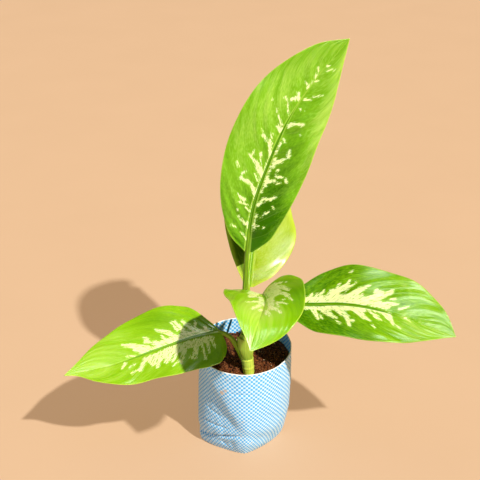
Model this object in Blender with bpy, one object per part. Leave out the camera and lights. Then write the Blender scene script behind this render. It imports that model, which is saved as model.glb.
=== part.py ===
"""A young dieffenbachia in a woven nursery bag: the bag, its growing mix, the stem and five leaves.

Metres, +Z up. The origin is on the floor under the middle of the bag, and -Y is the front.
"""

from dataclasses import dataclass
from math import pi, radians, tau

import bmesh
import bpy
import numpy as np
from mathutils import Vector, noise

CLEARANCE = 0.0003
WELD = 0.000002
PATH_SAMPLES = 400
KNOT_POWER = 0.7

BAG_WALL = 0.0010
BAG_GIRTH = 0.336
BAG_COLUMNS = 48
BAG_ROWS = 11
BAG_LEVELS = tuple((row / BAG_ROWS) ** 1.2 for row in range(BAG_ROWS + 1))
RIM_HEIGHT = 0.1195
RIM_TILT = 0.0045
BASE_TURN = radians(7.3)
SKIN_STEP = 0.004

SOIL_LEVEL = 0.1035
SOIL_SLOPE = 0.045
SOIL_EDGE_LEVEL = 0.86
SOIL_FLOOR_HEIGHT = 0.0020
SOIL_GAP = 0.00045
SOIL_FLOOR_ROWS = 2
SOIL_TOP_ROWS = 10
CLOD_SIZE = 0.013
CLOD_HEIGHT = 0.0032

STEM_SIDES = 16
STEM_ROWS = 14
STEM_PATH = (
    (0.0060, -0.0215, 0.062),
    (0.0052, -0.0220, 0.102),
    (0.0035, -0.0213, 0.120),
    (0.0010, -0.0202, 0.137),
    (0.0000, -0.0195, 0.150),
)
STEM_RADII = (0.0052, 0.0062, 0.0068, 0.0076, 0.0048)

BLADE_THICKNESS = 0.0010
BLADE_STATIONS = (0.0, 0.05, 0.12, 0.22, 0.35, 0.50, 0.65, 0.80, 0.92, 1.0)
BLADE_COLUMNS = 10
BLADE_ROWS = 20
BASE_CROWDING = 1.25
VEIN_CURVE = 1.4
LOBE_SPAN = 0.07
LOBE_TURN = 0.85
RIPPLE_OFFSET = 1.7
STALK_SIDES = 8
STALK_ROWS = 26
STALK_FOOT_RADIUS = 0.0034
STALK_TOP_RADIUS = 0.0023
RIB_TIP_RADIUS = 0.0004
RIB_END = 0.94
RIB_DROP = 0.7


@dataclass(frozen=True)
class Section:
    """A level outline of the bag, from a rounded rhombus (roundness 1) to an ellipse (2)."""

    level: float
    centre: tuple
    reach: tuple
    roundness: float


@dataclass(frozen=True)
class Fold:
    """A valley pressed into the bag's wall, along a line from one turn and height to another."""

    start: tuple
    end: tuple
    depth: float
    width: float


@dataclass(frozen=True)
class Leaf:
    """A leaf: the line of its stalk and midrib, and the shape of the blade on each side of it.

    stalk and rib are points from inside the stem to the blade's base, and on to its tip. faces says which way
    the upper face looks at the base, the middle and the tip. reach and lobe are for the left and the right
    half, seen along the leaf from above: how far it reaches at each of the stations, and how far its lobe
    hangs back. fold and roll, at the base and the tip, are the degrees that both halves rise by, and that the
    blade leans to one side by.
    """

    name: str
    stalk: tuple
    rib: tuple
    faces: tuple
    reach: tuple
    fold: tuple
    roll: tuple
    sweep: float
    lobe: tuple
    droop: float
    wave: tuple
    colour: tuple


BAG_SECTIONS = (
    Section(0.00, (-0.0035, 0.0020), (0.0465, 0.0355), 1.30),
    Section(0.07, (-0.0030, 0.0020), (0.0490, 0.0395), 1.45),
    Section(0.22, (-0.0015, 0.0025), (0.0515, 0.0450), 1.65),
    Section(0.50, (0.0000, 0.0040), (0.0530, 0.0500), 1.85),
    Section(0.78, (0.0000, 0.0062), (0.0535, 0.0528), 1.95),
    Section(1.00, (0.0000, 0.0080), (0.0535, 0.0540), 2.00),
)

BAG_FOLDS = (
    Fold((0.58, 0.110), (0.72, 0.045), 0.0020, 0.009),
    Fold((0.52, 0.016), (0.70, 0.013), 0.0018, 0.006),
    Fold((0.76, 0.030), (0.93, 0.012), 0.0015, 0.008),
    Fold((0.03, 0.030), (0.14, 0.070), 0.0020, 0.011),
    Fold((0.28, 0.020), (0.42, 0.050), 0.0020, 0.011),
)

LEAVES = (
    Leaf(
        name="leaf_left",
        stalk=((-0.001, -0.0200, 0.120), (-0.009, -0.0212, 0.138), (-0.016, -0.0233, 0.150)),
        rib=(
            (-0.0255, -0.0250, 0.1559),
            (-0.0520, -0.0310, 0.1541),
            (-0.0946, -0.0410, 0.1438),
            (-0.1395, -0.0520, 0.1321),
            (-0.1911, -0.0640, 0.1261),
        ),
        faces=((0.05, -0.45, 1.0), (-0.10, -0.55, 1.0), (0.0, -0.60, 1.0)),
        reach=(
            (0.0337, 0.0416, 0.0438, 0.0409, 0.0396, 0.0336, 0.0287, 0.0163, 0.0034, 0.0000),
            (0.0005, 0.0137, 0.0333, 0.0438, 0.0486, 0.0466, 0.0382, 0.0278, 0.0103, 0.0000),
        ),
        fold=(13, 7),
        roll=(-1, 0),
        sweep=0.0,
        lobe=(0.027, 0.0),
        droop=0.11,
        wave=(0.0016, 3.0, 0.4),
        colour=(0.23, 0.50, 0.035),
    ),
    Leaf(
        name="leaf_right",
        stalk=(
            (0.003, -0.0190, 0.120),
            (0.013, -0.0165, 0.138),
            (0.022, -0.0150, 0.155),
            (0.034, -0.0150, 0.171),
        ),
        rib=(
            (0.0461, -0.0170, 0.1821),
            (0.0797, -0.0260, 0.1911),
            (0.1171, -0.0420, 0.1989),
            (0.1600, -0.0600, 0.1965),
            (0.2143, -0.0860, 0.1876),
        ),
        faces=((0.05, -0.55, 1.0), (0.10, -0.60, 1.0), (0.20, -0.70, 1.0)),
        reach=(
            (0.0125, 0.0190, 0.0318, 0.0424, 0.0433, 0.0431, 0.0374, 0.0267, 0.0132, 0.0000),
            (0.0109, 0.0217, 0.0340, 0.0416, 0.0413, 0.0386, 0.0292, 0.0185, 0.0062, 0.0000),
        ),
        fold=(19, 8),
        roll=(-5, -6),
        sweep=0.134,
        lobe=(0.023, 0.031),
        droop=0.07,
        wave=(0.0016, 3.5, 1.0),
        colour=(0.20, 0.47, 0.030),
    ),
    Leaf(
        name="leaf_tall",
        stalk=(
            (0.000, -0.0190, 0.130),
            (0.000, -0.0172, 0.155),
            (0.000, -0.0155, 0.175),
            (0.001, -0.0110, 0.208),
        ),
        rib=(
            (0.0029, -0.0050, 0.2441),
            (0.0090, 0.0020, 0.2907),
            (0.0230, 0.0100, 0.3323),
            (0.0460, 0.0200, 0.3841),
            (0.0711, 0.0290, 0.4204),
            (0.1057, 0.0360, 0.4621),
        ),
        faces=((0.0, -1.0, 0.25), (0.0, -1.0, 0.30), (-0.10, -1.0, 0.35)),
        reach=(
            (0.0025, 0.0179, 0.0286, 0.0401, 0.0478, 0.0484, 0.0436, 0.0315, 0.0170, 0.0000),
            (0.0065, 0.0217, 0.0308, 0.0374, 0.0409, 0.0392, 0.0352, 0.0232, 0.0094, 0.0000),
        ),
        fold=(23, 10),
        roll=(1, 1),
        sweep=0.042,
        lobe=(0.0, 0.0),
        droop=0.1,
        wave=(0.0018, 3.5, 2.2),
        colour=(0.17, 0.46, 0.030),
    ),
    Leaf(
        name="leaf_back",
        stalk=(
            (0.001, -0.0170, 0.128),
            (0.004, -0.0090, 0.148),
            (0.006, -0.0030, 0.163),
            (0.006, 0.0020, 0.180),
        ),
        rib=(
            (0.0050, 0.0070, 0.1944),
            (0.0084, 0.0300, 0.2214),
            (0.0149, 0.0620, 0.2553),
            (0.0219, 0.0950, 0.2847),
            (0.0280, 0.1320, 0.3079),
        ),
        faces=((0.20, -0.80, 0.80), (0.20, -0.80, 0.80), (0.20, -0.70, 0.90)),
        reach=(
            (0.0025, 0.0101, 0.0193, 0.0280, 0.0370, 0.0413, 0.0390, 0.0294, 0.0144, 0.0000),
            (0.0054, 0.0213, 0.0328, 0.0427, 0.0459, 0.0386, 0.0295, 0.0174, 0.0065, 0.0000),
        ),
        fold=(18, 5),
        roll=(-3, -5),
        sweep=0.049,
        lobe=(0.019, 0.0),
        droop=0.1,
        wave=(0.0014, 3.0, 0.0),
        colour=(0.36, 0.60, 0.060),
    ),
    Leaf(
        name="leaf_front",
        stalk=(
            (0.002, -0.0215, 0.128),
            (0.007, -0.0225, 0.145),
            (0.012, -0.0190, 0.165),
            (0.017, -0.0170, 0.184),
        ),
        rib=(
            (0.0186, -0.0200, 0.1973),
            (0.0212, -0.0620, 0.2163),
            (0.0180, -0.1030, 0.2296),
            (0.0125, -0.1380, 0.2337),
            (0.0051, -0.1600, 0.2170),
        ),
        faces=((0.0, -0.1, 1.0), (0.0, -0.2, 1.0), (0.0, -0.9, 1.0)),
        reach=(
            (0.0215, 0.0265, 0.0342, 0.0409, 0.0423, 0.0427, 0.0391, 0.0264, 0.0120, 0.0000),
            (0.0170, 0.0281, 0.0359, 0.0406, 0.0430, 0.0369, 0.0291, 0.0171, 0.0060, 0.0000),
        ),
        fold=(44, 13),
        roll=(-19, 12),
        sweep=0.15,
        lobe=(0.0, 0.0),
        droop=0.16,
        wave=(0.0010, 3.0, 1.2),
        colour=(0.30, 0.62, 0.030),
    ),
)


def clear_scene():
    """Removes what the scene starts with."""
    for item in list(bpy.data.objects):
        bpy.data.objects.remove(item)


def material(name, colour, roughness):
    """A plain dielectric finish."""
    finish = bpy.data.materials.new(name)
    finish.use_nodes = True
    shader = finish.node_tree.nodes["Principled BSDF"]
    shader.inputs["Base Color"].default_value = (*colour, 1.0)
    shader.inputs["Roughness"].default_value = roughness
    shader.inputs["Metallic"].default_value = 0.0
    finish.diffuse_color = (*colour, 1.0)
    return finish


def add_object(name, mesh, finish=None):
    """Makes an object of a bmesh and frees the bmesh."""
    data = bpy.data.meshes.new(name)
    mesh.to_mesh(data)
    mesh.free()
    data.shade_smooth()
    item = bpy.data.objects.new(name, data)
    bpy.context.collection.objects.link(item)
    if finish:
        data.materials.append(finish)
    return item


def add_helper(name, mesh):
    """An object that only joins or cuts another."""
    item = add_object(name, mesh)
    item.hide_render = True
    item.display_type = "WIRE"
    return item


def boolean(item, other, operation, solver="EXACT"):
    """Joins another object to this one, or cuts it out."""
    modifier = item.modifiers.new(operation.lower(), "BOOLEAN")
    modifier.object = other
    modifier.operation = operation
    modifier.solver = solver


def unit(vectors):
    return vectors / np.linalg.norm(vectors, axis=-1, keepdims=True)


def spline(knots, values, at):
    """A smooth curve through the values at the knots, read at other places."""
    knots, values = np.asarray(knots, float), np.asarray(values, float)
    slopes = np.gradient(values, knots, axis=0)
    cell = np.clip(np.searchsorted(knots, at, side="right") - 1, 0, len(knots) - 2)
    span = (knots[cell + 1] - knots[cell])[..., None]
    share = (at - knots[cell])[..., None] / span
    rest = 1 - share
    start, end = values[cell] * (1 + 2 * share) * rest**2, values[cell + 1] * (3 - 2 * share) * share**2
    return start + end + span * share * rest * (slopes[cell] * rest - slopes[cell + 1] * share)


def even_path(points, count):
    """Points evenly spaced along a smooth curve through a few given ones, and the share of each given one."""
    points = np.asarray(points, float)
    knots = np.concatenate([[0], np.cumsum(np.linalg.norm(np.diff(points, axis=0), axis=1) ** KNOT_POWER)])
    fine = np.linspace(0, knots[-1], PATH_SAMPLES)
    curve = spline(knots, points, fine)
    run = np.concatenate([[0], np.cumsum(np.linalg.norm(np.diff(curve, axis=0), axis=1))])
    even = np.linspace(0, run[-1], count)
    path = np.stack([np.interp(even, run, curve[:, axis]) for axis in range(3)], -1)
    return path, np.interp(knots, fine, run) / run[-1]


def mapped_grid(columns, rows, place):
    """A grid of faces with its corners moved to place(s, t), s and t 0 to 1, and welded where they meet."""
    mesh = bmesh.new()
    bmesh.ops.create_grid(mesh, x_segments=columns, y_segments=rows, size=0.5)
    corners = np.clip(np.array([vert.co[:2] for vert in mesh.verts]) + 0.5, 0, 1)
    for vert, point in zip(mesh.verts, place(corners[:, 0], corners[:, 1])):
        vert.co = point
    bmesh.ops.remove_doubles(mesh, verts=mesh.verts, dist=WELD)
    return mesh


def close(mesh):
    """Fills the open ends and turns the faces outwards."""
    bmesh.ops.holes_fill(mesh, edges=mesh.edges, sides=0)
    bmesh.ops.recalc_face_normals(mesh, faces=mesh.faces)
    return mesh


def tube(path, radii, sides):
    """A round bar along a path, with a radius at each of its points."""
    tangents = unit(np.gradient(path, axis=0))
    side = unit(np.cross(tangents[0], (0.0, 1.0, 0.0)))
    sideways = []
    for tangent in tangents:
        side = unit(side - tangent * (side @ tangent))
        sideways.append(side)
    sideways = np.array(sideways)
    upwards = np.cross(tangents, sideways)
    rows = len(path) - 1

    def place(s, t):
        at = np.rint(t * rows).astype(int)
        angle = tau * s[:, None]
        return path[at] + radii[at][:, None] * (sideways[at] * np.cos(angle) + upwards[at] * np.sin(angle))

    return close(mapped_grid(sides, rows, place))


def rim_height(angle):
    """The height of the bag's rim, which tilts up a little at the back."""
    return RIM_HEIGHT + RIM_TILT * np.sin(angle)


def fold_depth(turn, height):
    """How far the wall is pressed in by the folds nearby."""
    depth = np.zeros_like(height)
    for fold in BAG_FOLDS:
        start = np.array(fold.start)
        along = (np.array(fold.end) - start) * (BAG_GIRTH, 1)
        from_start = (turn - start[0] + 0.5) % 1 - 0.5
        across = np.stack([from_start * BAG_GIRTH, height - start[1]], -1)
        share = np.clip(across @ along / (along @ along), 0, 1)
        distance = np.linalg.norm(across - share[..., None] * along, axis=-1)
        depth = depth + fold.depth * np.exp(-((distance / fold.width) ** 2))
    return depth


def bag_point(turn, level):
    """The bag's outer skin, turn 0 to 1 round it from +X and level 0 to 1 up it."""
    table = [(*part.centre, *part.reach, part.roundness) for part in BAG_SECTIONS]
    shape = spline([part.level for part in BAG_SECTIONS], table, level)
    angle = tau * turn
    lean = angle - BASE_TURN * (1 - level)
    power = shape[..., 4]
    along, across = np.abs(np.cos(lean)) / shape[..., 2], np.abs(np.sin(lean)) / shape[..., 3]
    height = level * rim_height(angle)
    reach = (along**power + across**power) ** (-1 / power) - fold_depth(turn, height)
    x, y = shape[..., 0] + reach * np.cos(angle), shape[..., 1] + reach * np.sin(angle)
    return np.stack([x, y, height], -1)


def inside_bag(turn, level):
    """A point just clear of the bag's inner skin."""
    round_it = bag_point(turn + SKIN_STEP, level) - bag_point(turn - SKIN_STEP, level)
    above, below = np.minimum(level + SKIN_STEP, 1), np.maximum(level - SKIN_STEP, 0)
    outward = unit(np.cross(round_it, bag_point(turn, above) - bag_point(turn, below)))
    return bag_point(turn, level) - outward * (BAG_WALL + SOIL_GAP)


def make_bag():
    """The open bag: its skin, closed by a flat foot, made a wall's thickness deep."""
    levels = np.array(BAG_LEVELS)

    def place(s, t):
        return bag_point(s, levels[np.rint(t * BAG_ROWS).astype(int)])

    mesh = mapped_grid(BAG_COLUMNS, BAG_ROWS, place)
    foot = [edge for edge in mesh.edges if edge.is_boundary and max(v.co.z for v in edge.verts) < WELD]
    bmesh.ops.holes_fill(mesh, edges=foot, sides=0)
    bmesh.ops.recalc_face_normals(mesh, faces=mesh.faces)
    bag = add_object("grow_bag", mesh, material("woven_polypropylene", (0.36, 0.62, 0.82), 0.5))
    wall = bag.modifiers.new("wall", "SOLIDIFY")
    wall.thickness = BAG_WALL
    wall.offset = -1
    wall.use_even_offset = True
    wall.use_rim = True


def soil_height(x, y):
    """The lumpy top of the growing mix, highest at the back."""
    lumps = np.array([noise.noise(Vector((px, py, 0.0)) / CLOD_SIZE) for px, py in zip(x, y)])
    return SOIL_LEVEL + SOIL_SLOPE * y + CLOD_HEIGHT * lumps


def soil_side_levels():
    """The levels of the growing mix's side: just above the bag's floor, then those of the bag's own rows."""
    return (SOIL_FLOOR_HEIGHT / RIM_HEIGHT, *(level for level in BAG_LEVELS[1:] if level < SOIL_EDGE_LEVEL))


def soil_point(turn, step):
    """The growing mix's skin, by rows: out over the underside, up the side and in over the top."""
    levels = soil_side_levels()
    side_rows = len(levels)
    edge = inside_bag(turn, np.full_like(turn, SOIL_EDGE_LEVEL))
    top_level = soil_height(edge[:, 0], edge[:, 1]) / rim_height(tau * turn)
    side_step = np.clip(step - SOIL_FLOOR_ROWS, 0, side_rows)
    level = np.where(side_step < side_rows, np.interp(side_step, range(side_rows), levels), top_level)
    skin = inside_bag(turn, level)
    under_middle = np.array([*BAG_SECTIONS[0].centre, SOIL_FLOOR_HEIGHT])
    under = under_middle + (skin - under_middle) * np.clip(step / SOIL_FLOOR_ROWS, 0, 1)[:, None]
    top_share = 1 - np.clip((step - SOIL_FLOOR_ROWS - side_rows) / SOIL_TOP_ROWS, 0, 1)
    top_middle = np.array(BAG_SECTIONS[-1].centre)
    over = top_middle + (edge[:, :2] - top_middle) * top_share[:, None]
    top = np.stack([over[:, 0], over[:, 1], soil_height(over[:, 0], over[:, 1])], -1)
    on_top = (step >= SOIL_FLOOR_ROWS + side_rows)[:, None]
    return np.where(on_top, top, np.where((step > SOIL_FLOOR_ROWS)[:, None], skin, under))


def make_soil(hole):
    """The growing mix, filling the bag to near its rim, with a plain hole for the stem."""
    rows = SOIL_FLOOR_ROWS + len(soil_side_levels()) + SOIL_TOP_ROWS
    mesh = close(mapped_grid(BAG_COLUMNS, rows, lambda s, t: soil_point(s, np.rint(t * rows))))
    soil = add_object("soil", mesh, material("coco_peat", (0.075, 0.030, 0.014), 0.95))
    boolean(soil, hole, "DIFFERENCE")


def stem_mesh(grown):
    """The stem, or the same a little larger all over to cut room for it."""
    path, shares = even_path(STEM_PATH, STEM_ROWS + 1)
    radii = spline(shares, np.array(STEM_RADII)[:, None], np.linspace(0, 1, STEM_ROWS + 1))[:, 0]
    ends = unit(np.array([path[0] - path[1], path[-1] - path[-2]]))
    path[0] += ends[0] * grown
    path[-1] += ends[1] * grown
    return tube(path, radii + grown, STEM_SIDES)


def leaf_lines(leaf, count):
    """Evenly spaced points along a leaf's whole line, and the share of it that is stalk."""
    path, shares = even_path(leaf.stalk + leaf.rib, count)
    return path, shares[len(leaf.stalk)]


def rib_frame(leaf, u):
    """Point, direction, upward and sideways directions at the share u along the midrib, and its length."""
    path, start = leaf_lines(leaf, PATH_SAMPLES)
    fine = np.linspace(0, 1, len(path))
    at = start + (1 - start) * u
    directions = np.gradient(path, axis=0)
    point = np.stack([np.interp(at, fine, path[:, axis]) for axis in range(3)], -1)
    direction = unit(np.stack([np.interp(at, fine, directions[:, axis]) for axis in range(3)], -1))
    stops = np.linspace(0, 1, len(leaf.faces))
    faces = np.asarray(leaf.faces, float)
    face = np.stack([np.interp(u, stops, faces[:, axis]) for axis in range(3)], -1)
    upward = unit(face - (face * direction).sum(-1, keepdims=True) * direction)
    length = np.linalg.norm(directions, axis=1).sum() * (1 - start)
    return point, direction, upward, np.cross(direction, upward), length


def half_reach(leaf, side, u):
    """How far a half, 0 for the left and 1 for the right, reaches from the midrib at u."""
    return spline(BLADE_STATIONS, np.array(leaf.reach[side])[:, None], u)[:, 0]


def blade_point(leaf, u, v):
    """The blade's surface, u 0 to 1 from base to tip and v -1 to 1 across, along the side veins."""
    out = np.abs(v)
    left = v < 0
    reach = np.where(left, half_reach(leaf, 0, u), half_reach(leaf, 1, u))
    forward = u + leaf.sweep * np.sin(pi * u) ** 0.8 * out**VEIN_CURVE * (1 - u) ** 0.3
    forward = forward - np.where(left, *leaf.lobe) * np.exp(-u / LOBE_SPAN) * np.sin(LOBE_TURN * pi * out)
    inside = np.clip(forward, 0, 1)
    point, direction, upward, sideways, length = rib_frame(leaf, inside)
    point = point + direction * ((forward - inside) * length)[:, None]
    tilt = np.radians(leaf.fold[0] + (leaf.fold[1] - leaf.fold[0]) * u)
    tilt = tilt + np.radians(leaf.roll[0] + (leaf.roll[1] - leaf.roll[0]) * u) * np.sign(v)
    amount, count, phase = leaf.wave
    ripple = np.sin(tau * count * u + phase + np.where(left, 0.0, RIPPLE_OFFSET))
    ripple = ripple * np.clip(6 * u, 0, 1) * np.clip(5 - 5 * u, 0, 1)
    aside = reach * out * np.cos(tilt * (1 - 0.4 * out)) * np.sign(v)
    lift = reach * (np.sin(tilt) * out - leaf.droop * out**2) + amount * out**2.2 * ripple
    return point + sideways * aside[:, None] + upward * lift[:, None]


def stalk_mesh(leaf):
    """The round stalk, from inside the stem, and the midrib that it turns into under the blade."""
    path, start = leaf_lines(leaf, STALK_ROWS + 1)
    share = np.linspace(0, 1, STALK_ROWS + 1)
    on_rib = np.clip((share - start) / (1 - start), 0, 1)
    path, shares = path[on_rib <= RIB_END], on_rib[on_rib <= RIB_END]
    share = share[: len(path)]
    radii = np.interp(share, (0, start, 1), (STALK_FOOT_RADIUS, STALK_TOP_RADIUS, RIB_TIP_RADIUS))
    upward = rib_frame(leaf, shares)[2]
    drop = radii * RIB_DROP * np.clip(shares * 10, 0, 1)
    return tube(path - upward * drop[:, None], radii, STALK_SIDES)


def make_leaf(leaf, grown_stem):
    """A thin waved blade with its stalk and midrib joined on, cut clear of the stem."""

    def place(s, t):
        return blade_point(leaf, t**BASE_CROWDING, 2 * s - 1)

    blade = mapped_grid(BLADE_COLUMNS, BLADE_ROWS, place)
    bmesh.ops.triangulate(blade, faces=blade.faces)
    item = add_object(leaf.name, blade, material(leaf.name + "_skin", leaf.colour, 0.35))
    sheet = item.modifiers.new("thickness", "SOLIDIFY")
    sheet.thickness = BLADE_THICKNESS
    sheet.offset = 0
    boolean(item, add_helper(leaf.name + "_stalk", stalk_mesh(leaf)), "UNION", "MANIFOLD")
    boolean(item, grown_stem, "DIFFERENCE")


def main():
    clear_scene()
    grown_stem = add_helper("room_for_stem", stem_mesh(CLEARANCE))
    make_bag()
    make_soil(grown_stem)
    add_object("stem", stem_mesh(0.0), material("green_stem", (0.42, 0.56, 0.10), 0.45))
    for leaf in LEAVES:
        make_leaf(leaf, grown_stem)


main()
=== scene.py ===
"""A young variegated dieffenbachia in a woven nursery bag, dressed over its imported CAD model.

Metres, +Z up, -Y the front. Every piece is built in place, in the frame of the CAD model.
"""

import logging
import random
from collections.abc import Callable, Sequence
from dataclasses import dataclass, field
from enum import Enum
from functools import partial
from math import pi, radians, tau

import bmesh
import bpy
import numpy as np
from bmesh.types import BMesh
from bpy.types import ColorRamp, Material, Mesh, Modifier, Node, NodeSocket, NodeTree, Object
from mathutils import Matrix, Vector, noise


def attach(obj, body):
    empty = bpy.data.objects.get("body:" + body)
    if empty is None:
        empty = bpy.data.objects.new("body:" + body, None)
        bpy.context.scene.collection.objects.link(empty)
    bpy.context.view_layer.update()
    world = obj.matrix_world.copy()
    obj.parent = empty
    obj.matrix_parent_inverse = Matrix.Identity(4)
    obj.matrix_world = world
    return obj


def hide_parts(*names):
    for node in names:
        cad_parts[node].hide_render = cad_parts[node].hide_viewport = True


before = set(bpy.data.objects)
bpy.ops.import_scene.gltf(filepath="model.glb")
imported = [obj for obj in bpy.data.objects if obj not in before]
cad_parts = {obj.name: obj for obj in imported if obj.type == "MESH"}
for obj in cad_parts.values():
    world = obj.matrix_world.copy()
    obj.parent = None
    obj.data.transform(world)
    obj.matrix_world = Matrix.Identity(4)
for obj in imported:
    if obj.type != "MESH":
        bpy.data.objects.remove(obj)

Array = np.ndarray
Pair = tuple[float, float]
Triple = tuple[float, float, float]

LOG = logging.getLogger("dieffenbachia")
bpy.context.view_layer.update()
BODY = "root"

MM = 0.001
WELD = 0.000002
MAP_NAME = "flat_map"
PATH_SAMPLES = 400
KNOT_POWER = 0.7

# A mark's value where nothing that it measures is near.
FAR = 9.0


class Slot(Enum):
    """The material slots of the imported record."""

    BAG = "woven_bag"
    MIX = "growing_mix"
    STEM = "stem"
    LEAF = "leaf"
    PALE_LEAF = "pale_leaf"


class Mark(Enum):
    """The float attributes that the finishes read.

    Each is a distance in mm, but RIB is in half widths of the midrib, and the tone mark is a share of the way
    from the deep green to the pale one, with painted shade and painted sheen in it as well as the leaf's own
    tone.
    """

    CREAM = "cream"
    EDGE = "edge"
    RIB = "rib"
    VEIN = "vein"
    TONE_SHADE_AND_SHEEN = "tone"
    SEAM = "seam"
    STAIN = "stain"
    RIM = "rim"
    CREASE = "crease"


def linear(code: str) -> tuple[float, ...]:
    """Turns an sRGB hex colour into linear red, green and blue, with an alpha of one."""
    parts = [int(code[at : at + 2], 16) / 255 for at in (1, 3, 5)]
    return *(part / 12.92 if part <= 0.04045 else ((part + 0.055) / 1.055) ** 2.4 for part in parts), 1.0


def feed(node: Node, inputs: dict) -> None:
    """Sets or links the inputs of a shader node.

    Args:
        node: The node.
        inputs: For each input, by name or number, a value, a hex colour, or the socket or node for it.
    """
    named = {socket.name: socket for socket in node.inputs if socket.enabled}
    for key, value in inputs.items():
        socket = node.inputs[key] if isinstance(key, int) else named[key]
        if isinstance(value, Node):
            value = next(output for output in value.outputs if output.enabled)
        if isinstance(value, NodeSocket):
            node.id_data.links.new(value, socket)
        else:
            socket.default_value = linear(value) if isinstance(value, str) else value


def add_node(tree: NodeTree, kind: str, inputs: dict | None = None, **settings: str) -> Node:
    """Adds a shader node with its settings, its values and its links.

    Args:
        tree: The node tree of a material.
        kind: The node's type, after the word ShaderNode.
        inputs: What feeds each input, as in feed.
        **settings: Properties of the node.

    Returns:
        The new node.
    """
    node = tree.nodes.new("ShaderNode" + kind)
    for key, value in settings.items():
        setattr(node, key, value)
    feed(node, inputs or {})
    return node


def new_material(name: str) -> tuple[Material, Callable[..., Node]]:
    """Starts a material.

    Args:
        name: The finish, in plain words.

    Returns:
        The material, and a function that adds a node to it.
    """
    material = bpy.data.materials.new(name)
    material.use_nodes = True
    return material, partial(add_node, material.node_tree)


def finished(material: Material, inputs: dict) -> Material:
    """Feeds the Principled shader of a material and returns the material."""
    feed(material.node_tree.nodes["Principled BSDF"], inputs)
    return material


def set_stops(ramp: ColorRamp, stops: dict[float, str]) -> None:
    """Gives a ramp its colours.

    Args:
        ramp: The ramp of a new node, which has two stops.
        stops: The hex colours by their places, which rise.
    """
    places = list(stops)
    ramp.elements[0].position, ramp.elements[1].position = places[0], places[-1]
    for place in places[1:-1]:
        ramp.elements.new(place)
    for element, code in zip(ramp.elements, stops.values()):
        element.color = linear(code)


def lay_coats(add: Callable[..., Node], colour: Node, coats: Sequence[tuple]) -> Node:
    """Lays coats of other colours over a colour, each where its mark is near.

    Args:
        add: Adds a node to the material.
        colour: The node of the colour below them.
        coats: Each coat's mark, where that starts and is full, its share and its colour, the lowest first.

    Returns:
        The node of the colour with its coats.
    """
    for mark, start, full, share, tint in coats:
        ends = {"From Min": start, "From Max": full, "To Max": share}
        near = add("MapRange", {"Value": mark} | ends, interpolation_type="SMOOTHSTEP")
        colour = add("Mix", {"Factor": near, "A": colour, "B": tint}, data_type="RGBA")
    return colour


def unit(vectors: Array) -> Array:
    """Scales vectors to a length of one."""
    return vectors / np.linalg.norm(vectors, axis=-1, keepdims=True)


def smooth(low: float, high: float, values: Array) -> Array:
    """A soft step from 0 at low to 1 at high."""
    share = np.clip((values - low) / (high - low), 0, 1)
    return share * share * (3 - 2 * share)


def bell(values: Array, width: float | Array) -> Array:
    """A soft hump that is 1 at 0 and fades out within about twice its width."""
    return np.exp(-((values / width) ** 2))


def blend(ends: Sequence, share: float | Array) -> float | Array:
    """What lies part of the way from the first of two numbers or points to the second."""
    return ends[0] + (ends[1] - ends[0]) * share


def spline(knots: Sequence[float], values: Sequence, at: Array) -> Array:
    """Reads a smooth curve through values at knots.

    Args:
        knots: Where the values stand, rising.
        values: A number or a row of numbers for each knot.
        at: Where to read.

    Returns:
        A number or a row of numbers for each place in at.
    """
    knots, rows = np.asarray(knots, float), np.asarray(values, float).reshape(len(knots), -1)
    slopes = np.gradient(rows, knots, axis=0)
    cell = np.clip(np.searchsorted(knots, at, side="right") - 1, 0, len(knots) - 2)
    span = (knots[cell + 1] - knots[cell])[..., None]
    share = (at - knots[cell])[..., None] / span
    rest = 1 - share
    start, end = rows[cell] * (1 + 2 * share) * rest**2, rows[cell + 1] * (3 - 2 * share) * share**2
    curve = start + end + span * share * rest * (slopes[cell] * rest - slopes[cell + 1] * share)
    return curve if np.ndim(values) > 1 else curve[..., 0]


def read_rows(at: Array, knots: Array, rows: Array) -> Array:
    """Reads straight lines through rows of three numbers, which stand at rising knots."""
    return np.stack([np.interp(at, knots, rows[:, axis]) for axis in range(3)], -1)


def run_along(path: Array, power: float = 1.0) -> Array:
    """The lengths along a path up to each of its points, with each step raised to a power."""
    return np.concatenate([[0], np.cumsum(np.linalg.norm(np.diff(path, axis=0), axis=1) ** power)])


def even_path(points: Sequence, count: int) -> tuple[Array, Array]:
    """Spaces points evenly along a smooth curve through a few given ones.

    Args:
        points: The given points.
        count: How many points to return.

    Returns:
        The even points, and the share of the curve at which each given point lies.
    """
    knots = run_along(np.array(points), KNOT_POWER)
    fine = np.linspace(0, knots[-1], PATH_SAMPLES)
    curve = spline(knots, points, fine)
    run = run_along(curve)
    return read_rows(np.linspace(0, run[-1], count), run, curve), np.interp(knots, fine, run) / run[-1]


def lumpy(points: Array, lumps: tuple[Triple, ...]) -> Array:
    """Adds up layers of smooth noise, each with its height, the size of its lumps and its seed."""
    return sum(height * grain(points, size, seed) for height, size, seed in lumps)


def grain(points: Array, size: float, seed: float = 0.0) -> Array:
    """Smooth noise from -1 to 1, with lumps of a given size.

    Args:
        points: Where to read it, a row of two or three metres each.
        size: The size of a lump in metres.
        seed: Moves the pattern.

    Returns:
        A number for each point.
    """
    deep = np.zeros((len(points), 3))
    deep[:, : points.shape[1]] = points / size
    return np.array([noise.noise(Vector(point) + Vector((seed, seed * 1.7, seed * 2.3))) for point in deep])


@dataclass(frozen=True)
class Skin:
    """A laid surface: its points, its flat map in metres and its marks."""

    points: Array
    flat: Array
    marks: dict[Mark, Array] = field(default_factory=dict)


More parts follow.
